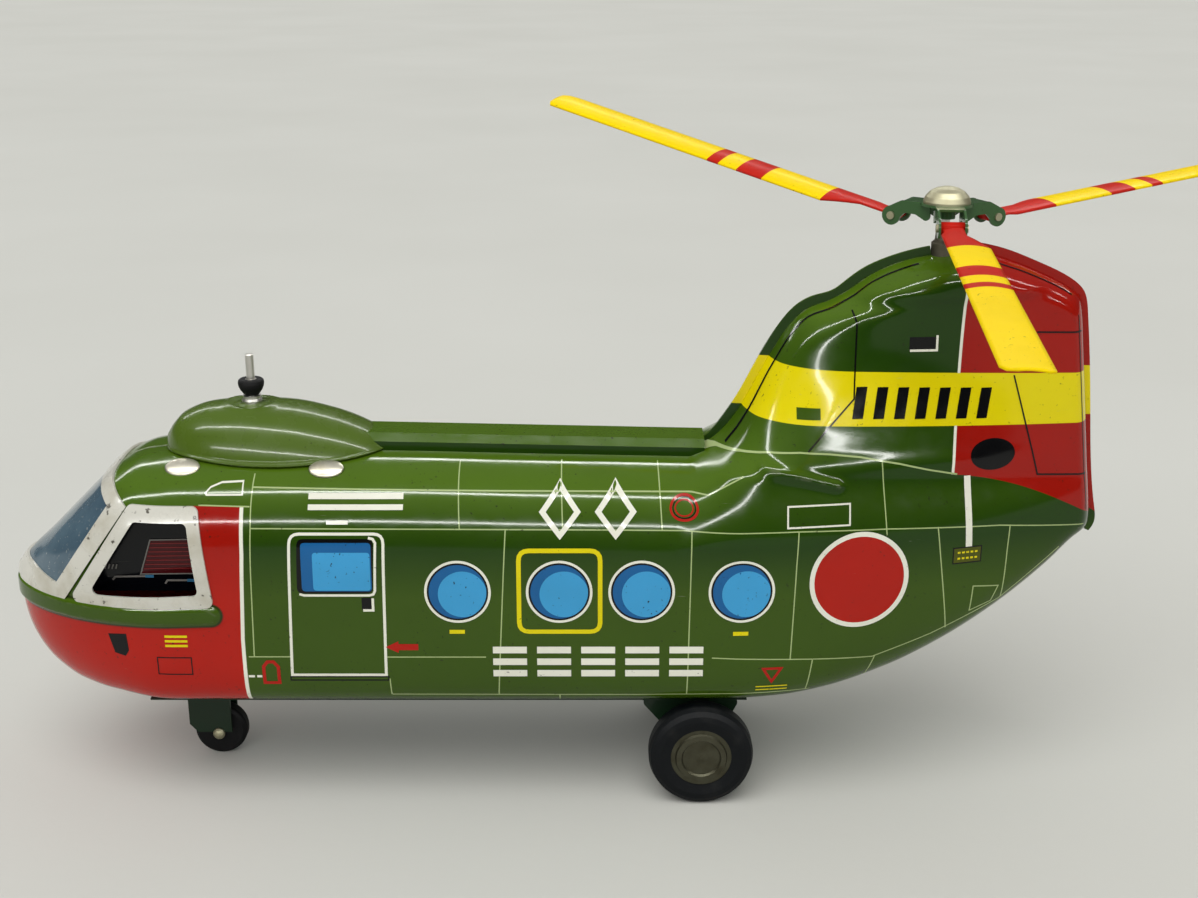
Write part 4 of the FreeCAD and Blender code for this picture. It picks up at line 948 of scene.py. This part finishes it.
PORTHOLES = (96.6, 132.1, 160.9, 195.9)
PORTHOLE_Z = 84.3
PORTHOLE_R = 11.2
PANEL_LINES = [
    [(25.2, 107.0), (77.0, 106.8), (146.0, 106.4), (215.7, 105.8), (246.7, 105.0),
     (288.6, 102.8), (322.0, 98.8)],
    [(96.7, 124.4), (97.6, 106.7)], [(132.7, 124.0), (133.4, 106.5)],
    [(166.9, 123.4), (167.9, 106.3)], [(244.6, 128.2), (246.7, 102.8)],
    [(113.5, 106.5), (110.2, 43.6)], [(178.2, 106.2), (177.4, 43.2)],
    [(215.3, 105.8), (213.9, 57.8)], [(265.3, 104.3), (270.9, 64.6)],
    [(292.4, 102.6), (291.5, 74.0)], [(25.2, 122.4), (25.2, 106.8), (24.0, 59.6)],
    [(25.4, 119.2), (83.7, 118.4), (111.5, 118.0)],
    [(111.5, 118.0), (184.0, 117.4), (196.0, 124.0)], [(7.0, 114.2), (24.8, 113.8)],
    [(22.0, 59.4), (37.0, 59.4)], [(70.0, 59.3), (106.0, 59.3)],
    [(186.0, 58.9), (244.0, 56.2), (265.3, 63.0), (290.9, 73.5), (313.0, 91.0)],
    [(72.0, 43.4), (160.0, 43.2), (222.0, 43.6)], [(222.0, 57.2), (220.4, 43.6)],
    [(244.9, 56.4), (242.0, 46.6)], [(71.6, 50.6), (71.8, 43.4)], [(132.0, 43.3), (132.0, 39.4)],
]
ROOT_LINE = [
    (181.3, 125.0), (188.0, 127.8), (195.6, 129.9), (205.0, 131.2), (215.7, 131.7), (226.0, 131.0),
    (236.8, 129.7), (251.1, 126.8), (262.0, 124.0), (272.0, 121.8),
]
SEAM_LINES = [
    [(234.0, 178.2), (235.3, 174.5), (234.7, 148.8), (218.5, 131.9)],
    [(291.6, 155.4), (302.3, 119.3), (321.5, 117.6)], [(298.8, 170.5), (315.4, 170.0)],
]


def white_print(ink_piece):
    lay = ink_piece.lay
    door = [(38.6, 105.2), (71.2, 105.2), (70.4, 52.2), (37.0, 52.2)]
    lay(ribbon(rounded(door, 3.4, square=(2, 3)), 1.0, True), 1)
    lay(ribbon([(66.0, 103.9), (67.6, 103.5), (68.4, 102.2), (67.8, 84.8), (67.2, 83.5),
                (65.8, 83.1), (43.0, 83.1), (41.4, 83.6)], 0.9), 3)
    for x in PORTHOLES:
        lay(ribbon(disc(x, PORTHOLE_Z, PORTHOLE_R), 0.9, True), 3)
    lay(ribbon([(66.9, 82.0), (66.9, 77.4), (63.4, 77.4)], 0.9), 3)
    lay(fill(box_of(51.5, 108.3, 59.0, 109.6)), 1)
    lay(ribbon([(9.0, 117.6), (10.6, 119.2), (14.3, 120.4), (21.7, 120.7), (21.9, 117.2),
                (9.4, 117.1)], 0.5, True), 1)
    lay(ribbon(box_of(211.4, 107.2, 233.3, 114.3), 0.6, True), 1)
    lay(fill([(276.0, 95.8), (278.4, 95.8), (277.0, 121.0), (274.6, 121.0)]), 2)
    lay(ribbon(disc(237.5, 86.8, 17.0), 1.7, True), 3)
    lay(ribbon([(254.0, 164.9), (263.5, 164.9), (263.5, 170.2)], 0.8), 2)
    lay(ribbon([(21.4, 51.6), (23.6, 51.6)], 0.9), 1)
    lay(ribbon([(24.4, 51.6), (26.2, 51.6)], 0.9), 1)
    # plain stripes, diamonds and bars where the toy carries its markings
    for z in (112.8, 116.0):
        lay(fill(box_of(45.0, z, 78.0, z + 1.7)), 1)
    for x in (132.4, 151.8):
        outer, inner = (
            [(x - 0.82 * r, 112.0), (x, 112.0 - r), (x + 0.82 * r, 112.0), (x, 112.0 + r)]
            for r in (8.9, 6.0)
        )
        lay(band(outer, inner), 2)
    for i in range(5):
        x = 108.5 + 15.6 * i
        for z in (51.6, 56.2, 60.8):
            lay(fill(box_of(x, z, x + 12.0, z + 2.6)), 2)


def black_print(ink_piece):
    lay = ink_piece.lay
    for x in PORTHOLES:
        lay(ribbon(disc(x, PORTHOLE_Z, PORTHOLE_R - 0.7), 0.8, True), 2)
    lay(fill(rounded([(41.2, 103.5), (67.6, 103.5), (67.0, 83.8), (40.6, 83.8)], 2.2)), 1)
    lay(fill(box_of(63.0, 77.6, 66.6, 82.2)), 2)
    lay(ribbon(box_of(36.4, 50.0, 71.2, 51.4), 0.5, True), 1)
    lay(fill(disc(285.0, 128.0, 8.2, 5.6)), 1)
    lay(fill(box_of(253.8, 165.3, 263.1, 169.6)), 1)
    for line in SEAM_LINES:
        lay(ribbon(line, 0.55), 3)
    lay(ribbon(box_of(271.6, 90.0, 282.0, 95.8), 0.4, True), 2)
    # painted shade: black lines just inside the seams of the pylon and along the stern, where the creases between
    # skin and flanges would be dark
    for start, end in ((190.0, 257.0), (276.0, 312.0)):
        x = np.linspace(start, end, 50)
        z = pylon_top(x)
        turn = np.arctan(np.gradient(z, x))
        lay(ribbon(list(zip(x + 1.6 * np.sin(turn), z - 1.6 * np.cos(turn))), 0.32), 3)
    lay(ribbon([(stern(z) - 3.4, z) for z in np.linspace(104.0, 176.0, 30)], 0.32), 3)
    lay(fill([(-28.4, 66.4), (-21.4, 67.2), (-20.9, 60.8), (-22.4, 58.4), (-26.4, 59.2)]), 1)
    lay(ribbon(box_of(-10.5, 52.4, 1.6, 59.0), 0.4, True), 1)
    lay(ribbon(disc(175.6, 113.0, 3.9, 3.1), 0.3, True), 2)
    # a row of plain slanted blocks on the yellow band
    for i in range(7):
        x = 234.0 + 7.4 * i
        z = 142.2 - 0.032 * (x - 234.0)
        lay(fill([(x, z), (x + 3.8, z), (x + 5.4, z + 10.6), (x + 1.6, z + 10.6)]), 3)


def colour_prints(yellow, red, blue, deep, green, olive, line):
    yellow.lay(ribbon(rounded(box_of(118.0, 69.2, 146.4, 99.4), 3.6), 1.6, True), 1)
    for x, z in ((93.4, 68.4), (193.2, 67.6)):
        yellow.lay(fill(box_of(x, z, x + 5.4, z + 1.5)), 1)
    for z in (63.2, 65.0, 66.8):
        yellow.lay(fill(box_of(-7.2, z, 0.8, z + 0.9)), 1)
    for z in (44.9, 46.4):
        yellow.lay(fill(box_of(202.0, z, 213.4, z + 0.5)), 1)
    red.lay(ribbon(disc(175.6, 113.0, 4.7, 3.7), 0.8, True), 2)
    red.lay(ribbon(disc(175.6, 113.0, 3.1, 2.4), 0.5, True), 2)
    red.lay(fill([(70.6, 63.2), (75.2, 60.9), (75.2, 62.0), (82.2, 62.0), (82.2, 64.4),
                  (75.2, 64.4), (75.2, 65.5)]), 1)
    red.lay(ribbon([(204.4, 54.2), (210.8, 54.2), (207.6, 48.8)], 1.0, True), 1)
    red.lay(ribbon([(27.0, 48.9), (27.0, 55.6), (28.4, 57.4), (30.6, 57.4), (32.2, 55.4),
                    (32.2, 48.9)], 1.2, True), 1)
    red.lay(fill(disc(237.5, 86.8, 16.6)), 1)
    for x in PORTHOLES:
        deep.lay(fill(disc(x, PORTHOLE_Z, PORTHOLE_R - 0.9)), 0)
        blue.lay(fill(disc(x + 1.7, PORTHOLE_Z - 0.9, PORTHOLE_R - 2.6)), 1)
    deep.lay(fill(rounded(box_of(42.4, 84.6, 66.8, 102.2), 1.4)), 2)
    blue.lay(fill(rounded(box_of(46.4, 84.9, 66.4, 98.8), 1.2)), 3)
    green.lay(fill(box_of(215.0, 142.2, 222.8, 145.6)), 1)
    green.lay(ribbon(box_of(215.0, 142.2, 222.8, 145.6), 0.4, True), 1)
    for points in PANEL_LINES:
        line.lay(ribbon(points, 0.42), 0)
    line.lay(ribbon(ROOT_LINE, 0.6), 2)
    line.lay(ribbon([(280.0, 80.5), (289.8, 79.4), (287.6, 73.2), (279.5, 70.6)], 0.4, True), 0)
    olive.lay(fill(box_of(271.6, 90.0, 282.0, 95.8)), 1)
    for z in (91.4, 93.6):
        for i in range(5):
            yellow.lay(fill(box_of(273.2 + 1.6 * i, z, 274.2 + 1.6 * i, z + 0.7)), 2)


def print_graphics():
    inks = {
        "white": Printer("print_white", ink("white_ink", WHITE), "cream_tin"),
        "black": Printer("print_black", ink("black_ink", BLACK, 0.6), "cab_card"),
        "yellow": Printer("print_yellow", ink("yellow_ink", YELLOW), "yellow_tin"),
        "red": Printer("print_red", ink("red_ink", RED), "red_tin"),
        "blue": Printer("print_blue", ink("blue_ink", BLUE, 1.6), "screen_glass"),
        "deep": Printer("print_deep_blue", ink("deep_blue_ink", DEEP_BLUE, 1.6), "screen_glass"),
        "green": Printer("print_green", ink("green_ink", GREEN), "green_tin"),
        "olive": Printer("print_olive", ink("olive_ink", OLIVE), "green_tin"),
        "line": Printer("print_lines", ink("line_ink", PANEL_LINE), "cream_tin"),
    }
    white_print(inks["white"])
    black_print(inks["black"])
    colour_prints(*(inks[k] for k in ("yellow", "red", "blue", "deep", "green", "olive", "line")))
    for printer in inks.values():
        printer.finish()


# ------------------------------------------------------------------ printed cab interior
CARD_Y = 27.5


def cab_prints():
    """Seat and levers printed on the flat cards behind the side windows."""
    seat = [(-17.4, 85.6), (-13.0, 98.6), (2.6, 98.9), (3.4, 85.8)]
    groups = {
        "cab_seat": (ink("seat_ink", srgb(74, 12, 18)), [fill(seat, 20.0)], 0.1),
        "cab_lines": (ink("cab_line_ink", srgb(132, 128, 124)), [
            ribbon(seat, 0.45, True), ribbon([(-27.6, 83.4), (-26.6, 84.6), (-13.6, 84.8)], 0.7),
            ribbon([(-9.0, 81.9), (-8.0, 83.2), (1.0, 83.2)], 0.7),
        ] + [
            ribbon([(-30.0 + 1.3 * i, 87.6), (-29.4 + 1.3 * i, 89.4)], 0.5) for i in range(4)
        ], 0.4),
        "cab_ribs": (ink("rib_ink", srgb(136, 34, 36)), [
            ribbon([(-16.0 + 0.5 * i, 87.6 + 1.6 * i), (2.6, 87.8 + 1.6 * i)], 0.35) for i in range(7)
        ], 0.25),
        "cab_knobs": (ink("knob_ink", srgb(60, 120, 160)), [
            ribbon([(-15.8, 84.8), (-12.8, 84.8)], 1.1), ribbon([(-1.0, 83.2), (2.0, 83.2)], 1.1),
        ], 0.55),
    }
    for name, (material, shapes, lift) in groups.items():
        verts, faces = merged(shapes)
        left = np.array([(x, -CARD_Y - lift, z) for x, z in verts])
        both = both_sides(left, faces)
        piece = add_mesh(name, *both, "airframe", "cab_card", smooth_faces=False)
        piece.data.materials.append(material)


# ------------------------------------------------------------------ finishes of the carried parts
def finish_parts():
    paint = body_paint("carried_print", rubbed=False)
    steel = metal("bright_steel", srgb(196, 194, 188), 0.24, (1.0, 1.0, 0.08), 0.2)
    nickel = metal("plated_nickel", srgb(162, 158, 132), 0.4, (0.15, 1.0, 1.0), 0.3)
    dull_steel = metal("dull_steel", srgb(92, 88, 76), 0.45)
    by_slot = {
        "green_tin": enamel("hub_green", srgb(58, 92, 52)),
        "red_tin": paint,
        "cream_tin": worn_white("frame_enamel"),
        "yellow_tin": enamel("blade_yellow", YELLOW),
        "dark_tin": enamel("gear_green", srgb(24, 46, 28), 0.3, 0.7),
        "cab_card": enamel("cab_black", srgb(6, 8, 14), 0.14, 0.2),
        "screen_glass": smoked_sheet("smoked_sheet"),
        "nickel": nickel,
        "steel": steel,
        "brass": metal("turned_brass", srgb(186, 150, 82), 0.3),
        "rubber": rubber("black_rubber", srgb(12, 12, 14)),
        "tyre": rubber("tyre_rubber", srgb(3, 7, 12), 0.55),
        "hub_metal": metal("hub_bronze", srgb(78, 77, 64), 0.4, tarnish=0.7),
        "cell": printed_cell("cell_jacket"),
        "white_plastic": plastic("white_nylon", srgb(214, 210, 198)),
        "red_wire": plastic("red_sleeve", srgb(170, 30, 26)),
        "blue_wire": plastic("blue_sleeve", srgb(30, 60, 140)),
        "black_wire": plastic("black_sleeve", srgb(24, 24, 26)),
    }
    own = {
        "pylon_front_flange": paint, "pylon_rear_flange": paint, "spine_cover": paint,
        "fairing_lugs": metal("lug_plating", srgb(204, 200, 184), 0.3, tarnish=0.8),
        "rear_bushing": dull_steel,
    }
    for part in frame["record"]["subparts"]:
        node = frame["nodes"][part["node"]]
        finish = own.get(part["node"], by_slot[part["material_slot"]])
        if not node.material_slots:
            node.data.materials.append(finish)
        for place in node.material_slots:
            place.material = finish


# ------------------------------------------------------------------ stage, light and camera
SURROUND = 0.58                     # brightness of the even pale surround
CENTRE = (0.14, 0.0, 0.12)          # the tubes face this point, in metres
TUBE_LENGTH = 3.2                   # metres
TUBE_TINT = (1.0, 1.0, 0.98)


def tube(name, place, width, watts):
    """Long ceiling tube along X; it adds highlights and no diffuse light."""
    data = bpy.data.lights.new(name, "AREA")
    data.shape = "RECTANGLE"
    data.size = TUBE_LENGTH
    data.size_y = width
    data.energy = watts
    data.color = TUBE_TINT
    light = bpy.data.objects.new(name, data)
    light.location = place
    aim = Vector(CENTRE) - Vector(place)
    light.rotation_euler = aim.to_track_quat("-Z", "Y").to_euler()
    light.visible_diffuse = False
    link(light)


def studio_world():
    """Even pale surround; in reflections it falls off to a dim room near the horizon."""
    world = bpy.data.worlds.new("studio")
    world.use_nodes = True
    tree = world.node_tree
    path = tree.nodes.new("ShaderNodeLightPath")
    place = tree.nodes.new("ShaderNodeTexCoord")
    split = tree.nodes.new("ShaderNodeSeparateXYZ")
    tree.links.new(place.outputs["Generated"], split.inputs[0])
    room = tree.nodes.new("ShaderNodeMapRange")
    room.interpolation_type = "SMOOTHSTEP"
    tree.links.new(split.outputs[2], room.inputs["Value"])
    for socket, value in (("From Min", 0.3), ("From Max", 1.0), ("To Min", 0.05), ("To Max", 0.4)):
        room.inputs[socket].default_value = value
    seen = tree.nodes.new("ShaderNodeMix")
    tree.links.new(path.outputs["Is Glossy Ray"], seen.inputs[0])
    seen.inputs[2].default_value = SURROUND
    tree.links.new(room.outputs["Result"], seen.inputs[3])
    background = tree.nodes["Background"]
    background.inputs[0].default_value = (0.99, 1.0, 0.985, 1.0)
    tree.links.new(seen.outputs[0], background.inputs[1])
    bpy.context.scene.world = world


def stage():
    net = Net("paper")
    tone = net.noise(2.2, 3.0)
    colour = net.mix(tone, srgb(199, 199, 193), srgb(210, 210, 205))
    net.bump(net.noise(160.0, 5.0), 0.1, 0.001)
    net.put(Base_Color=colour, Roughness=0.9, Specular_IOR_Level=0.2)
    reach = 9.0
    mesh = bpy.data.meshes.new("floor")
    corners = [(-reach, -reach, 0), (reach, -reach, 0), (reach, reach, 0), (-reach, reach, 0)]
    mesh.from_pydata(corners, [], [(0, 1, 2, 3)])
    mesh.materials.append(net.mat)
    floor = bpy.data.objects.new("floor", mesh)
    link(floor)
    studio_world()
    sun = bpy.data.lights.new("ceiling", "SUN")
    sun.energy = 1.7
    sun.angle = math.radians(55.0)
    sun.color = (1.0, 0.99, 0.97)
    ceiling = bpy.data.objects.new("ceiling", sun)
    ceiling.rotation_euler = (math.radians(28.0), math.radians(-10.0), 0.0)
    ceiling.visible_glossy = False
    link(ceiling)
    tube("front_tube", (0.14, -1.40, 0.78), 0.05, 30.0)
    tube("top_tube", (0.14, -0.36, 1.22), 0.06, 30.0)
    tube("back_tube", (0.14, 1.10, 1.0), 0.08, 14.0)


def camera():
    data = bpy.data.cameras.new("camera")
    data.sensor_width = 36.0
    data.lens = 48.08
    data.clip_start = 0.01
    eye = bpy.data.objects.new("camera", data)
    eye.location = (0.146, -0.5548, 0.3089)
    eye.rotation_euler = (math.radians(71.5), 0.0, 0.0)
    link(eye)
    bpy.context.scene.camera = eye
    bpy.context.scene.view_settings.view_transform = "Standard"


body_finish = body_paint("body_print")
body_halves(body_finish)
fairing(enamel("fairing_green", srgb(80, 104, 30), 0.22, 1.4))
blade_red = enamel("blade_red", srgb(196, 34, 22), 0.3, shine=0.15)
blade_yellow = enamel("blade_bright_yellow", srgb(255, 220, 0), 0.3, shine=0.15)
for blade_name, (blade_rise, blade_roll) in BLADES.items():
    blade(blade_name, blade_rise, blade_roll, blade_red, blade_yellow)
print_graphics()
cab_prints()
finish_parts()
stage()
camera()
